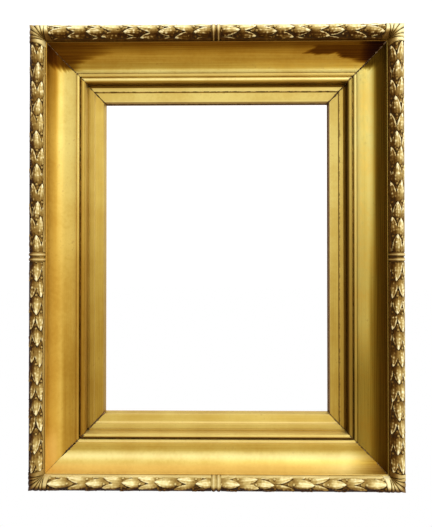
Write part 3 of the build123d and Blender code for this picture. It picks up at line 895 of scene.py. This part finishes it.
class GILDEDFRAME_OT_rails(bpy.types.Operator):
    """Build the gilded rails and stiles with their bare backs"""

    bl_idname = "gilded_frame.rails"
    bl_label = "Rails and stiles"

    def execute(self, context):
        m, c = context.scene.frame_moulding, context.scene.frame_colours
        s = stations(m)
        section = softened(rail_outline(s, m), 300, m.arris_blur, m.hollow_blur)
        out, height = section.out, section.height
        # The zones are 0 gold, 1 ochre and 2 pine, with small margins for the rounding of the corners
        over_tongue = height > s.tongue_height
        inside_bead = out < s.bead_start.real + 0.0004
        front = (height > s.tongue_height - 0.001) & (out < s.outer_out + 0.001)
        in_rabbet = (out < s.rabbet_out + 0.0006) & (height < s.tongue_height)
        back = in_rabbet | (height < 0.0004)
        edge_band = height > s.rim_seat - m.edge_band_height - 0.0015
        zones = np.where(front, 0, np.where(back, 2, np.where(edge_band, 0, 1)))
        open_share = np.where(over_tongue & (out < s.cove_end.real), 1.0, 0.0)
        across = (out - s.ridge_end.real) / m.cove_width
        up_to_bead = out < s.bead_end.real
        ridge_middle = (s.ridge_start.real + s.ridge_end.real) / 2
        on_ridge = np.abs(out - ridge_middle) < m.ridge_width / 2
        inner_wall = inside_bead & over_tongue
        wall_low = s.tongue_height + 0.45 * m.inner_wall_height
        wall_foot = ease(height, wall_low, s.tongue_height) * inside_bead
        gold = rail_gilding("gilded_moulding", c, c.gold_pale, c.glaze, 0.55)
        # The right stile's copy of the gilding, whose dark glaze paints its shade
        shaded = rail_gilding("gilded_right_stile_shaded", c, c.gold_cool, c.shade, 0.55)
        ochre, pine = ochre_wash(c), bare_pine(c)
        for side, node in RAILS.items():
            along, grid, dirt = mitred_grid(side, section, open_share, m.crack_width)
            z = grid[..., 2]
            darkening = 0.25 * stile_darkening(side, z)
            # Painted shade on the bead and its small walls, and on the ridge
            bead = np.maximum(wall_painted_shade(side, section.lean), BEAD_PAINTED_SHADE[side] + darkening) * up_to_bead
            ridge = (RIDGE_PAINTED_SHADE[side] + darkening) * on_ridge
            # Bright wear on the arrises, and painted light on the inner walls
            wear_and_light = np.maximum(section.rub * EDGE_WEAR_AND_HIGHLIGHT[side], inner_wall * WALL_PAINTED_LIGHT[side])
            # Grime with painted shade, wear with painted highlights, painted shade in the brown glaze, and
            # the amber wash
            values = {
                "hollow": highest(section.hollow * QUIRK_GRIME_AND_SHADE[side], wall_foot * WALL_GRIME_AND_SHADE[side], dirt),
                "rub": np.maximum(wear_and_light, rail_painted_highlight(side, across, z)),
                "shade_depth": highest(rail_painted_shade(side, across, grid), bead, ridge),
                "warm": warmth(side, across, grid),
            }
            materials = [shaded if side == "right" else gold, ochre, pine]
            run = (along, section.walk)
            piece = skin(f"{node}_moulding", grid, materials, zones=zones, values=values, run=run)
            dress(piece, node)
        return {"FINISHED"}


class GILDEDFRAME_OT_slips(bpy.types.Operator):
    """Build the four gilded lengths of the slip"""

    bl_idname = "gilded_frame.slips"
    bl_label = "Slip"

    def execute(self, context):
        m, c = context.scene.frame_moulding, context.scene.frame_colours
        s = stations(m)
        section = softened(slip_outline(s, m), 170, m.arris_blur * 0.7, m.hollow_blur)
        out, height = section.out, section.height
        # The zones are 0 gold and 1 pine
        zones = np.where(height < s.seat + 0.0004, 1, 0)
        face = height > s.seat + 0.004
        open_share = np.where(face, 1.0, 0.0)
        wall_top = s.seat + 0.75 * m.sight_wall_height
        sight_wall = ease(height, wall_top, wall_top - 0.002) * (out < s.sight_arris.real)
        outer_list = ease(out, s.step_end.real - 0.0006, s.step_end.real + 0.0002)
        steep = np.abs(section.lean) > 0.7
        riser = steep & (out > s.sight_arris.real + 0.001)
        materials = [rail_gilding("gilded_slip", c, c.gold_pale, c.glaze, 0.5, 0.15), bare_pine(c)]
        for side in SIDES:
            along, grid, dirt = mitred_grid(side, section, open_share, m.crack_width)
            # The foot of the step carries a line of grime and painted shade, and of painted highlight, by
            # side
            foot = bell(out, s.step.real + FOOT_SHIFT[side], 0.0008) * face
            # Painted shade over all of the slip and more outside its step, and the darkening down the stiles
            darkening = SLIP_PAINTED_SHADE[side] + STEP_PAINTED_SHADE[side] * (out > s.step.real)
            darkening = darkening + 0.26 * stile_darkening(side, grid[..., 2])
            # Painted shade on the slip's steep walls and on its outer list
            shade = np.maximum(steep * wall_painted_shade(side, section.lean), 0.8 * outer_list) * SLIP_SHADE[side]
            hollow = np.maximum(section.hollow * SLIP_GRIME_AND_SHADE[side], sight_wall * WALL_GRIME_AND_SHADE[side])
            # Bright wear on the arrises, and painted light on the riser
            wear_and_light = np.maximum(section.rub * EDGE_WEAR_AND_HIGHLIGHT[side], riser * WALL_PAINTED_LIGHT[side])
            values = {
                "hollow": highest(hollow, foot * FOOT_GRIME_AND_SHADE[side], dirt),
                "rub": np.maximum(wear_and_light, foot * FOOT_PAINTED_HIGHLIGHT[side]),
                "shade_depth": np.maximum(darkening, shade),
            }
            run = (along, section.walk)
            piece = skin(f"slip_{side}_gilded", grid, materials, zones=zones, values=values, run=run)
            dress(piece, f"slip_{side}")
        return {"FINISHED"}


def rim_loop(s, m, o, radius, angle):
    """The rim's section at each row: the half round of the given radii on a stem and a plinth."""
    half = m.rim_width / 2 - o.rim_fit
    plinth_top = o.plinth_height - m.rim_seat_depth
    out = radius * np.sin(angle)
    height = radius * np.cos(angle)
    rows = np.ones((len(radius), 1))
    first, last = out[:, :1], out[:, -1:]
    low = -m.rim_seat_depth * rows
    shelf = plinth_top * rows
    out = np.concatenate([-half * rows, -half * rows, first, out, last, half * rows, half * rows], axis=1)
    height = np.concatenate([low, shelf, shelf, height, shelf, shelf, low], axis=1)
    return s.rim_centre.real + out, s.rim_centre.imag + height


def over_stem(values, stem=None):
    """Values round the rim's half round, carried on over its stem and plinth or set to one value there."""
    if stem is None:
        return np.pad(values, STEM_POINTS, mode="edge")
    return np.pad(values, STEM_POINTS, constant_values=stem)


def leaf_relief(along, around, lean, o):
    """Height of one leaf over the core, at distances along from its root and around from its midrib.

    With a the share of the way to the tip, the half width is a^0.50 (1-a)^0.80 scaled to 1 at the belly. With
    b the share of that half width, the height is a lift that grows to the tip times the roof 1-0.5|b|, less
    three veins that are bells of b.
    """
    a = np.clip(along / o.leaf_length, 0, 1)
    outline = a**0.50 * (1 - a) ** 0.80
    belly = 0.50 / 1.30
    outline = outline / (belly**0.50 * (1 - belly) ** 0.80)
    b = (around - lean * along) / (o.leaf_width / 2 * np.maximum(outline, 1e-3))
    inside = (np.abs(b) < 1) & (along > 0) & (along < o.leaf_length)
    roof = 1 - 0.5 * np.minimum(np.abs(b), 1)
    lift = o.leaf_lift + (1 - o.leaf_lift) * ease(a, 0.16, 0.62)
    veins = bell(b, 0, o.vein_width) + 0.7 * bell(np.abs(b), 0.52, o.vein_width)
    veins = veins * ease(a, 0.05, 0.25) * ease(1 - a, 0.04, 0.25)
    height = o.leaf_relief * lift * roof - o.vein_depth * veins
    return np.where(inside, height, 0.0)


def berry_relief(along, around, o):
    """Height of a berry: a ball of the berry's radius whose middle stands over the core."""
    ball = o.berry_radius**2 - along**2 - around**2
    return np.where(ball > 0, np.sqrt(np.maximum(ball, 0)) + o.berry_lift, 0.0)


def laurel_relief(x, angle, length, o, rim_radius, seed):
    """Height of a run of laurel over its core, the highest of its leaves and berries, and where berries show.

    Rows stand a pitch apart. Even rows hold leaves at the crest and low on both flanks, odd rows a pair
    between them, and a berry sits on each leaf between the tips of the row before. Seeded changes of place
    and size and the uneven casting keep them from being alike, and all are rolled a little towards the cove.
    """
    chance = np.random.default_rng(seed)
    rows = max(2, round(length / o.leaf_pitch))
    pitch = length / rows
    mid_radius = rim_radius - o.leaf_relief / 2
    height = np.zeros(np.broadcast_shapes(x.shape, angle.shape))
    fruit = np.zeros(height.shape)
    past_end = o.leaf_length - pitch
    for row in range(rows + 1):
        turns = (-0.5, 0.5) if row % 2 else (-1, 0, 1)
        for turn in turns:
            shift, sway, lean, size = chance.normal(0, LEAF_CHANCES)
            along = (x + past_end - row * pitch - shift) / (1 + size)
            around = mid_radius * (angle + o.leaf_roll - turn * o.side_leaf_angle - sway) / (1 + size)
            leaf = leaf_relief(along, around, lean, o)
            berry = berry_relief(along - o.berry_place, around, o)
            fruit = np.maximum(fruit, berry)
            height = np.maximum(height, np.maximum(leaf, berry))
    fruit = (fruit > 0) & (fruit >= height)
    steps = (x[1, 0] - x[0, 0], mid_radius * (angle[0, 1] - angle[0, 0]))
    uneven = blurred_grid(chance.normal(size=height.shape), steps, CAST_LUMP)
    height = height + o.cast_rough * uneven / uneven.std()
    return np.clip(height, 0, o.leaf_relief), fruit


def cap_cut(o, angle):
    """How far a cap's end is cut back round the rim, from none at the inner flank to most at the outer."""
    return o.cap_slant * (1 + np.sin(angle)) / 2


def laurel_values(side, leaves, fruit, flank, angle, steps, o):
    """Grime, painted shade, wear and painted highlights over a run of laurel.

    A crease is how far a place lies under the smoothed relief. Grime and painted shade fill the creases and
    the lowest places. Wear and painted highlights take sharp ridges, the highest places and the edges that
    face the lit flank, less on berries. The painted shade deepens in low places, as a painted shadow behind
    those edges, and on berries, and wear thins it. The filled flanks count as middling high and keep no wear.
    """
    relief = np.maximum(leaves, flank)
    carved = leaves >= flank
    crease = (blurred_grid(relief, steps, o.crease_reach) - relief) / o.crease_depth
    high = np.where(carved, relief / o.leaf_relief, 0.6)
    # Leaf edges that face the lit flank get a painted highlight, and those behind a painted shadow
    beside = np.roll(leaves, LIT_FLANK_STEPS[side], axis=1)
    facing = ease(leaves - beside, *FREE_EDGE)
    behind = ease(beside - relief, *FREE_EDGE) * carved
    rub = highest(ease(-crease, 0.1, 0.8), 0.6 * ease(high, 0.8, 1.0), 0.9 * facing)
    rub = rub * RIM_WEAR_AND_HIGHLIGHT[side] * carved * (1 - 0.75 * fruit)
    # Grime and painted shade in the creases and low places, less on the lit inner flanks
    sunk = np.maximum(crease, ease(1 - relief / o.leaf_relief, 0.6, 1.0))
    sunk = sunk * np.interp(np.sin(angle), (-0.3, 0.35), (INNER_FLANK_DARK[side], 1))
    # Painted shade by flank, in low places and behind the lit edges
    shade_depth = np.maximum(rim_painted_shade(side, angle) + 1.1 * (0.75 - high), 0) + 0.6 * behind + 0.2 * fruit
    shade_depth = shade_depth * (1 - 0.8 * rub)
    return {"hollow": over_stem(np.clip(sunk, 0, 1)), "rub": over_stem(rub, 0), "shade_depth": over_stem(shade_depth)}


class GILDEDFRAME_OT_laurel(bpy.types.Operator):
    """Build the eight runs of laurel leaves and berries"""

    bl_idname = "gilded_frame.laurel"
    bl_label = "Laurel runs"

    def execute(self, context):
        m, o = context.scene.frame_moulding, context.scene.frame_ornament
        s = stations(m)
        rim_radius = m.rim_width / 2 - o.rim_fit
        core = rim_radius - o.leaf_relief
        material = rim_gilding("gilded_laurel", context.scene.frame_colours, 0.25)
        angle = np.linspace(-np.pi / 2, np.pi / 2, 61)[None, :]
        flank = o.flank_fill * o.leaf_relief * ease(np.abs(angle), math.radians(60), math.radians(83))
        seed = 11
        for side in SIDES:
            length = SIDES[side][1] + s.fillet_end.real - o.cap_reach - o.tie_length / 2
            x = np.linspace(0, length, int(length / LAUREL_STEP))[:, None]
            steps = (x[1, 0] - x[0, 0], rim_radius * (angle[0, 1] - angle[0, 0]))
            follow = ease(x, length - CAP_FOLLOW, length) * over_stem(cap_cut(o, angle))
            for end, direction in zip(RUN_ENDS[side], (-1, 1)):
                seed += 1
                leaves, fruit = laurel_relief(x, angle, length, o, rim_radius, seed)
                out, height = rim_loop(s, m, o, core + np.maximum(leaves, flank), angle)
                grid = on_side(side, direction * (o.tie_length / 2 + x + follow), out, height)
                values = laurel_values(side, leaves, fruit, flank, angle, steps, o)
                piece = skin(f"laurel_{side}_{end}_leaves", grid, [material], values=values)
                dress(piece, f"laurel_{side}_{end}")
        return {"FINISHED"}


class GILDEDFRAME_OT_ties(bpy.types.Operator):
    """Build the four ribbon ties at the middles of the sides"""

    bl_idname = "gilded_frame.ties"
    bl_label = "Ribbon ties"

    def execute(self, context):
        m, o = context.scene.frame_moulding, context.scene.frame_ornament
        s = stations(m)
        rim_radius = m.rim_width / 2 - o.rim_fit
        material = rim_gilding("gilded_ties", context.scene.frame_colours, 0.38)
        angle = np.linspace(-np.pi / 2, np.pi / 2, 49)[None, :]
        x = np.linspace(-o.tie_length / 2, o.tie_length / 2, 65)[:, None]
        reed = np.abs(np.sin(2 * np.pi * x / o.tie_length)) ** 1.1
        out, height = rim_loop(s, m, o, rim_radius - o.tie_relief * (1 - reed), angle)
        for side in SIDES:
            # A painted highlight on the reed crests, and painted shade over the tie and between its reeds
            rub = 0.8 * RIM_WEAR_AND_HIGHLIGHT[side] * ease(reed, 0.75, 1.0)
            shade_depth = (np.maximum(rim_painted_shade(side, angle), 0) + 0.30 * TIE_GRIME_AND_SHADE[side]) * (1 - 0.7 * rub)
            values = {"hollow": (1 - reed) * TIE_GRIME_AND_SHADE[side], "rub": rub, "shade_depth": over_stem(shade_depth)}
            piece = skin(f"tie_{side}_ribbon", on_side(side, x, out, height), [material], values=values)
            dress(piece, f"tie_{side}")
        return {"FINISHED"}


def cap_places(o):
    """Places along a corner cap: distance into a leg, which is 0 in the fan, fan angle and depth of groove.

    From the end of the first leg the path runs to the mitre point, sweeps the fan from 90 degrees to 0 and
    runs out along the second leg. A groove parts each leg from the fan, and the folds of the fan are rounded.
    """
    leg = np.linspace(-o.cap_reach, 0, 40, endpoint=False)
    sweep = np.linspace(np.pi / 2, 0, 121)
    inset = np.concatenate([leg, np.zeros(len(sweep)), leg[::-1]])
    turn = np.concatenate([np.full(len(leg), np.pi / 2), sweep, np.zeros(len(leg))])
    fold = np.abs(np.sin(sweep / (np.pi / 2) * o.cap_fan_reeds * np.pi)) ** 0.8
    groove = bell(leg, 0, o.cap_groove_width) + bell(leg, -o.cap_reach, o.cap_groove_width)
    depth = np.concatenate([groove, 1 - fold, groove[::-1]])
    return inset[:, None], turn[:, None], np.clip(depth, 0, 1)[:, None]


class GILDEDFRAME_OT_corner_caps(bpy.types.Operator):
    """Build the four fans over the mitres of the rim"""

    bl_idname = "gilded_frame.corner_caps"
    bl_label = "Corner caps"

    def execute(self, context):
        m, o = context.scene.frame_moulding, context.scene.frame_ornament
        s = stations(m)
        rim_radius = m.rim_width / 2 - o.rim_fit
        material = rim_gilding("gilded_caps", context.scene.frame_colours, 0.38)
        angle = np.linspace(-np.pi / 2, np.pi / 2, 49)[None, :]
        inset, turn, depth = cap_places(o)
        # The grooves open from the inner flank outwards, and run out again towards the outer edge
        open_out = ease(angle, -np.pi / 2, -np.pi / 6)
        run_out = 1 - 0.7 * ease(angle, np.pi / 9, np.pi / 2.6)
        radius = rim_radius - o.cap_relief * depth * open_out * run_out
        out, height = rim_loop(s, m, o, radius, angle)
        across = out - s.fillet_end.real
        inset = inset * (1 - over_stem(cap_cut(o, angle)) / o.cap_reach)
        spread = across / np.maximum(np.cos(turn), np.sin(turn))
        right = spread * np.cos(turn) + np.where(turn > np.pi / 4, inset, 0.0)
        up = spread * np.sin(turn) + np.where(turn > np.pi / 4, 0.0, inset)
        hollow = over_stem(depth * open_out, 1)
        for name, (corner_turn, side_x, side_z, first, second, cap_shade) in CAPS.items():
            cos, sin = math.cos(math.radians(corner_turn)), math.sin(math.radians(corner_turn))
            x = side_x * (SIGHT_HALF_WIDTH + s.fillet_end.real) + right * cos + up * sin
            z = side_z * (SIGHT_HALF_HEIGHT + s.fillet_end.real) + up * cos - right * sin
            share_first = turn / (np.pi / 2)
            # Painted shade of the two sides' rims, and more of it towards the lower left
            shade_depth = rim_painted_shade(first, angle) * share_first + rim_painted_shade(second, angle) * (1 - share_first) + cap_shade
            shade_depth = over_stem(np.maximum(shade_depth, 0))
            values = {"hollow": hollow, "rub": 0.4 * ease(1 - hollow, 0.7, 1.0), "shade_depth": shade_depth}
            grid = np.stack([x, -height, z], axis=-1)
            piece = skin(f"corner_cap_{name}_fan", grid, [material], values=values)
            dress(piece, f"corner_cap_{name}")
        return {"FINISHED"}


def wire(path, side_axis, radius, sides=20):
    """Points round a bent wire that follows a flat path.

    At each place stands a circle spanned by the axis square to the path's plane and by the direction that is
    square to both.
    """
    ahead = np.gradient(path, axis=0)
    ahead /= np.linalg.norm(ahead, axis=1, keepdims=True)
    across = np.cross(ahead, side_axis)[:, None, :]
    turn = np.linspace(0, 2 * np.pi, sides, endpoint=False)[None, :, None]
    circle = np.cos(turn) * np.asarray(side_axis) + np.sin(turn) * across
    return path[:, None, :] + radius[:, None, None] * circle


class GILDEDFRAME_OT_hangers(bpy.types.Operator):
    """Build the screw eyes and their hanging rings"""

    bl_idname = "gilded_frame.hangers"
    bl_label = "Screw eyes and rings"

    def execute(self, context):
        w, c = context.scene.frame_hardware, context.scene.frame_colours
        brass = old_metal("brass_hardware", c.brass, c.tarnish, 1.0)
        for hand in HANDS:
            low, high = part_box(f"screw_eye_{hand}")
            eye = skin(f"screw_eye_{hand}_brass", self.eye(w, low, high), [brass])
            dress(eye, f"screw_eye_{hand}")
            low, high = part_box(f"hanging_ring_{hand}")
            ring = skin(f"hanging_ring_{hand}_brass", self.ring(low, high), [brass], ring=True)
            dress(ring, f"hanging_ring_{hand}")
        return {"FINISHED"}

    def eye(self, w, low, high):
        """A wire that rises from its point in the wood and bends round to a loop that is not quite closed."""
        loop = w.eye_hole_radius + w.eye_wire_radius
        x, z = (low.x + high.x) / 2, (low.z + high.z) / 2
        centre_y = high.y - loop - w.eye_wire_radius
        turn = np.linspace(-np.pi / 2, EYE_BEND_END, 84)
        stem_y = np.linspace(low.y, centre_y - loop - EYE_NECK, 16)
        path_y = np.concatenate([stem_y, centre_y + loop * np.sin(turn)])
        path_z = np.concatenate([np.full_like(stem_y, z), z + loop * np.cos(turn)])
        path = np.stack([np.full_like(path_y, x), path_y, path_z], axis=-1)
        point = ease(path_y, low.y, low.y + EYE_POINT)
        radius = w.eye_wire_radius * np.where(path_y < 0, 0.15 + 0.85 * point, 1.0)
        return wire(path, (1.0, 0.0, 0.0), radius)

    def ring(self, low, high):
        """A round ring of round wire that fills its box, with a faint seam at its foot."""
        thick = (high.y - low.y) / 2
        reach = (high.x - low.x) / 2 - thick
        turn = np.linspace(0, 2 * np.pi, 120, endpoint=False)
        around = np.linspace(0, 2 * np.pi, 24, endpoint=False)[None, :, None]
        spoke = np.stack([np.cos(turn), np.zeros_like(turn), np.sin(turn)], axis=-1)[:, None, :]
        seam = 1 - 0.10 * bell(turn, 1.5 * np.pi, 0.03)[:, None, None]
        tube = thick * seam * (np.cos(around) * spoke + np.sin(around) * np.array([0.0, 1.0, 0.0]))
        return np.array((low + high) / 2) + reach * spoke + tube


def button_edge_reach(turn, w, reach):
    """Distance from the pivot to the edge of the button in each direction.

    The edge is the hull of the pivot circle and the smaller tip circle below it: the larger of the two
    circles and of the two straight lines that touch both.
    """
    lean = math.acos((w.button_pivot_radius - w.button_tip_radius) / reach)
    off = np.abs(np.arctan2(np.sin(turn + np.pi / 2), np.cos(turn + np.pi / 2)))
    touch = w.button_pivot_radius / np.maximum(np.cos(off - lean), 1e-3)
    inside = np.clip(w.button_tip_radius**2 - (reach * np.sin(off)) ** 2, 0, None)
    tip = reach * np.cos(off) + np.sqrt(inside)
    tip_start = math.atan2(w.button_tip_radius * math.sin(lean), reach + w.button_tip_radius * math.cos(lean))
    return np.where(off > lean, w.button_pivot_radius, np.where(off > tip_start, touch, tip))


class GILDEDFRAME_OT_turn_buttons(bpy.types.Operator):
    """Build the turn buttons and their slotted screws"""

    bl_idname = "gilded_frame.turn_buttons"
    bl_label = "Turn buttons and screws"

    def execute(self, context):
        w, c = context.scene.frame_hardware, context.scene.frame_colours
        brass = old_metal("brass_buttons", c.brass, c.tarnish, 1.0)
        turn = np.linspace(0, 2 * np.pi, 160, endpoint=False)
        screws = []
        for index, name in enumerate(BUTTONS):
            low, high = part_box(f"turn_button_{name}")
            pivot_x, pivot_z = (low.x + high.x) / 2, high.z - w.button_pivot_radius
            reach = high.z - low.z - w.button_pivot_radius - w.button_tip_radius
            edge = button_edge_reach(turn, w, reach)[:, None]
            hole = np.full_like(edge, w.button_hole_radius)
            corner = np.linspace(0, np.pi / 2, 5)
            round_in = w.button_edge * (1 - np.sin(corner))
            round_up = w.button_edge * (1 - np.cos(corner))
            rounded = [edge - round_in[::-1], edge - round_in]
            span = np.concatenate([hole, hole, edge * 0.55, edge * 0.8, *rounded], axis=1)
            face = [low.y, high.y, high.y, high.y]
            lift = np.concatenate([face, high.y - round_up[::-1], low.y + round_up])
            x = pivot_x + span * np.cos(turn)[:, None]
            z = pivot_z + span * np.sin(turn)[:, None]
            grid = np.stack([x, np.broadcast_to(lift, span.shape), z], axis=-1)
            piece = skin(f"turn_button_{name}_brass", grid, [brass], ring=True)
            dress(piece, f"turn_button_{name}")
            screws.append(self.screw(w, pivot_x, pivot_z, 0.5 + 0.8 * index))
        self.join_screws(screws, brass)
        return {"FINISHED"}

    def screw(self, w, x, z, slot_turn):
        """Rows from the slotted crown out over the domed head, under it and down the shank to its point.

        The dome is a parabola of the head's height, and the slot takes it down inside a narrow straight band.
        """
        turn = np.linspace(0, 2 * np.pi, 96, endpoint=False)[None, :]
        head = np.linspace(0.02, 1, 26)[:, None] * w.screw_head_radius
        under_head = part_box("turn_button_screws")[1].y - w.screw_head_height
        dome = under_head + w.screw_head_height * (1 - (head / w.screw_head_radius) ** 2)
        off = np.abs(head * np.sin(turn - slot_turn))
        slot = 1 - ease(off, 0.35 * w.screw_slot_width, 0.65 * w.screw_slot_width)
        floor = under_head + w.screw_head_height - w.screw_slot_depth
        dome = np.where(dome > floor, dome - slot * (dome - floor), dome)
        shank_share = np.array([[1.0], [1.0], [0.12]])
        shank_y = np.array([[under_head], [-w.screw_shank_length * 0.8], [-w.screw_shank_length]])
        radius = np.concatenate([head, w.screw_shank_radius * shank_share])
        y = np.concatenate([dome, np.broadcast_to(shank_y, (len(shank_y), turn.size))])
        return np.stack([x + radius * np.cos(turn), y, z + radius * np.sin(turn)], axis=-1)

    def join_screws(self, screws, brass):
        """One piece for the four screws, as in the CAD node."""
        pieces = [skin(f"screw_{index}", grid, [brass]) for index, grid in enumerate(screws)]
        with bpy.context.temp_override(active_object=pieces[0], selected_editable_objects=pieces):
            bpy.ops.object.join()
        pieces[0].name = "turn_button_screws_brass"
        dress(pieces[0], "turn_button_screws")


class GILDEDFRAME_OT_nails(bpy.types.Operator):
    """Give the flush nails and brads their old steel finish"""

    bl_idname = "gilded_frame.nails"
    bl_label = "Nails and brads"

    def execute(self, context):
        c = context.scene.frame_colours
        steel = old_metal("nail_steel", c.steel, c.rust, 0.6)
        for node in ("corner_nails", "slip_nails"):
            mesh = frame["nodes"][node].data
            mesh.materials.clear()
            mesh.materials.append(steel)
        return {"FINISHED"}


class GILDEDFRAME_OT_stage(bpy.types.Operator):
    """Set the floor, the soft light and the camera"""

    bl_idname = "gilded_frame.stage"
    bl_label = "Stage"

    def execute(self, context):
        scene, t = context.scene, context.scene.frame_stage
        self.floor(scene, t)
        self.sky(scene, t)
        self.lamp(scene, "key", *KEY_LAMP, t.key_watts)
        high = self.lamp(scene, "high", *HIGH_LAMP, t.high_watts)
        high.visible_glossy = False
        data = bpy.data.cameras.new("camera")
        data.sensor_width = 36.0
        data.lens = data.sensor_width * t.focal_share
        data.clip_start = 0.01
        camera = bpy.data.objects.new("camera", data)
        camera.location = t.camera_place
        camera.rotation_euler = Vector(t.camera_aim).to_track_quat("-Z", "Y").to_euler()
        scene.collection.objects.link(camera)
        scene.camera = camera
        scene.view_settings.view_transform = "Standard"
        return {"FINISHED"}

    def floor(self, scene, t):
        """A plain pale floor below the hung frame, just out of the camera's view."""
        side, front, back, level = t.floor_reach, -t.floor_reach, t.floor_back, t.floor_drop
        mesh = bpy.data.meshes.new("floor")
        corners = [(-side, front, level), (side, front, level), (side, back, level), (-side, back, level)]
        mesh.from_pydata(corners, [], [(0, 1, 2, 3)])
        f = Finish("pale_floor")
        cloud = f.noise(f.place(), 3.0, 2.0)
        rough = f.ramp(cloud, 0.3, 0.7, 0.7, 0.8)
        mesh.materials.append(f.finish(base_color=t.floor_colour, roughness=rough))
        floor = bpy.data.objects.new("floor", mesh)
        scene.collection.objects.link(floor)

    def sky(self, scene, t):
        """A plain studio surround by direction.

        It is white behind the frame, has a bright band at eye level in front, and is dimmer above that, below
        and to the left.
        """
        world = bpy.data.worlds.new("studio")
        world.use_nodes = True
        scene.world = world
        tree = world.node_tree
        nodes, links = tree.nodes, tree.links

        def by_direction(part, stops):
            """A level that follows one part of the direction, given from -1 to 1."""
            shift = nodes.new("ShaderNodeMapRange")
            links.new(part, shift.inputs["Value"])
            shift.inputs["From Min"].default_value = -1.0
            ramp = nodes.new("ShaderNodeValToRGB")
            ramp.color_ramp.interpolation = "EASE"
            elements = ramp.color_ramp.elements
            for place, level in stops[1:-1]:
                elements.new((place + 1) / 2)
            for element, (place, level) in zip(elements, stops):
                element.position = (place + 1) / 2
                element.color = (level, level, level, 1)
            links.new(shift.outputs["Result"], ramp.inputs["Fac"])
            return ramp.outputs["Color"]

        def mix(kind, a, b):
            node = nodes.new("ShaderNodeMix")
            node.data_type = "RGBA"
            node.blend_type = kind
            node.inputs[0].default_value = 1.0
            links.new(a, node.inputs[6])
            links.new(b, node.inputs[7])
            return node.outputs[2]

        split = nodes.new("ShaderNodeSeparateXYZ")
        links.new(nodes.new("ShaderNodeTexCoord").outputs["Generated"], split.inputs[0])
        x, y, z = split.outputs
        by_height = by_direction(z, HEIGHT_LEVELS)
        by_side = by_direction(x, SIDE_LEVELS)
        behind = by_direction(y, BEHIND_LEVELS)
        level = mix("LIGHTEN", behind, mix("MULTIPLY", by_height, by_side))
        links.new(level, nodes["Background"].inputs["Color"])
        nodes["Background"].inputs["Strength"].default_value = t.sky_strength

    def lamp(self, scene, name, place, size, watts):
        """A square soft lamp that faces the middle of the frame."""
        data = bpy.data.lights.new(name, "AREA")
        data.size = size
        data.energy = watts
        lamp = bpy.data.objects.new(name, data)
        lamp.location = place
        lamp.rotation_euler = (-Vector(place)).to_track_quat("-Z", "Y").to_euler()
        lamp.visible_camera = False
        scene.collection.objects.link(lamp)
        return lamp


class GILDEDFRAME_PT_parts(bpy.types.Panel):
    """Lists the pieces of the frame"""

    bl_label = "Gilded Frame"
    bl_idname = "GILDEDFRAME_PT_parts"
    bl_space_type = "VIEW_3D"
    bl_region_type = "UI"
    bl_category = "Gilded Frame"

    def draw(self, context):
        for operator in OPERATORS:
            self.layout.operator(operator.bl_idname)


GROUPS = {
    "frame_moulding": MouldingSizes,
    "frame_ornament": OrnamentSizes,
    "frame_hardware": HardwareSizes,
    "frame_colours": FinishColours,
    "frame_stage": StageSettings,
}
OPERATORS = (
    GILDEDFRAME_OT_rails,
    GILDEDFRAME_OT_slips,
    GILDEDFRAME_OT_laurel,
    GILDEDFRAME_OT_ties,
    GILDEDFRAME_OT_corner_caps,
    GILDEDFRAME_OT_hangers,
    GILDEDFRAME_OT_turn_buttons,
    GILDEDFRAME_OT_nails,
    GILDEDFRAME_OT_stage,
)


def register():
    for kind in (*GROUPS.values(), *OPERATORS, GILDEDFRAME_PT_parts):
        bpy.utils.register_class(kind)
    for name, kind in GROUPS.items():
        setattr(bpy.types.Scene, name, bpy.props.PointerProperty(type=kind))


def unregister():
    for name in GROUPS:
        delattr(bpy.types.Scene, name)
    for kind in (GILDEDFRAME_PT_parts, *reversed(OPERATORS), *GROUPS.values()):
        bpy.utils.unregister_class(kind)


def main():
    register()
    bpy.ops.gilded_frame.rails()
    bpy.ops.gilded_frame.slips()
    bpy.ops.gilded_frame.laurel()
    bpy.ops.gilded_frame.ties()
    bpy.ops.gilded_frame.corner_caps()
    bpy.ops.gilded_frame.hangers()
    bpy.ops.gilded_frame.turn_buttons()
    bpy.ops.gilded_frame.nails()
    bpy.ops.gilded_frame.stage()


if __name__ == "__main__":
    main()
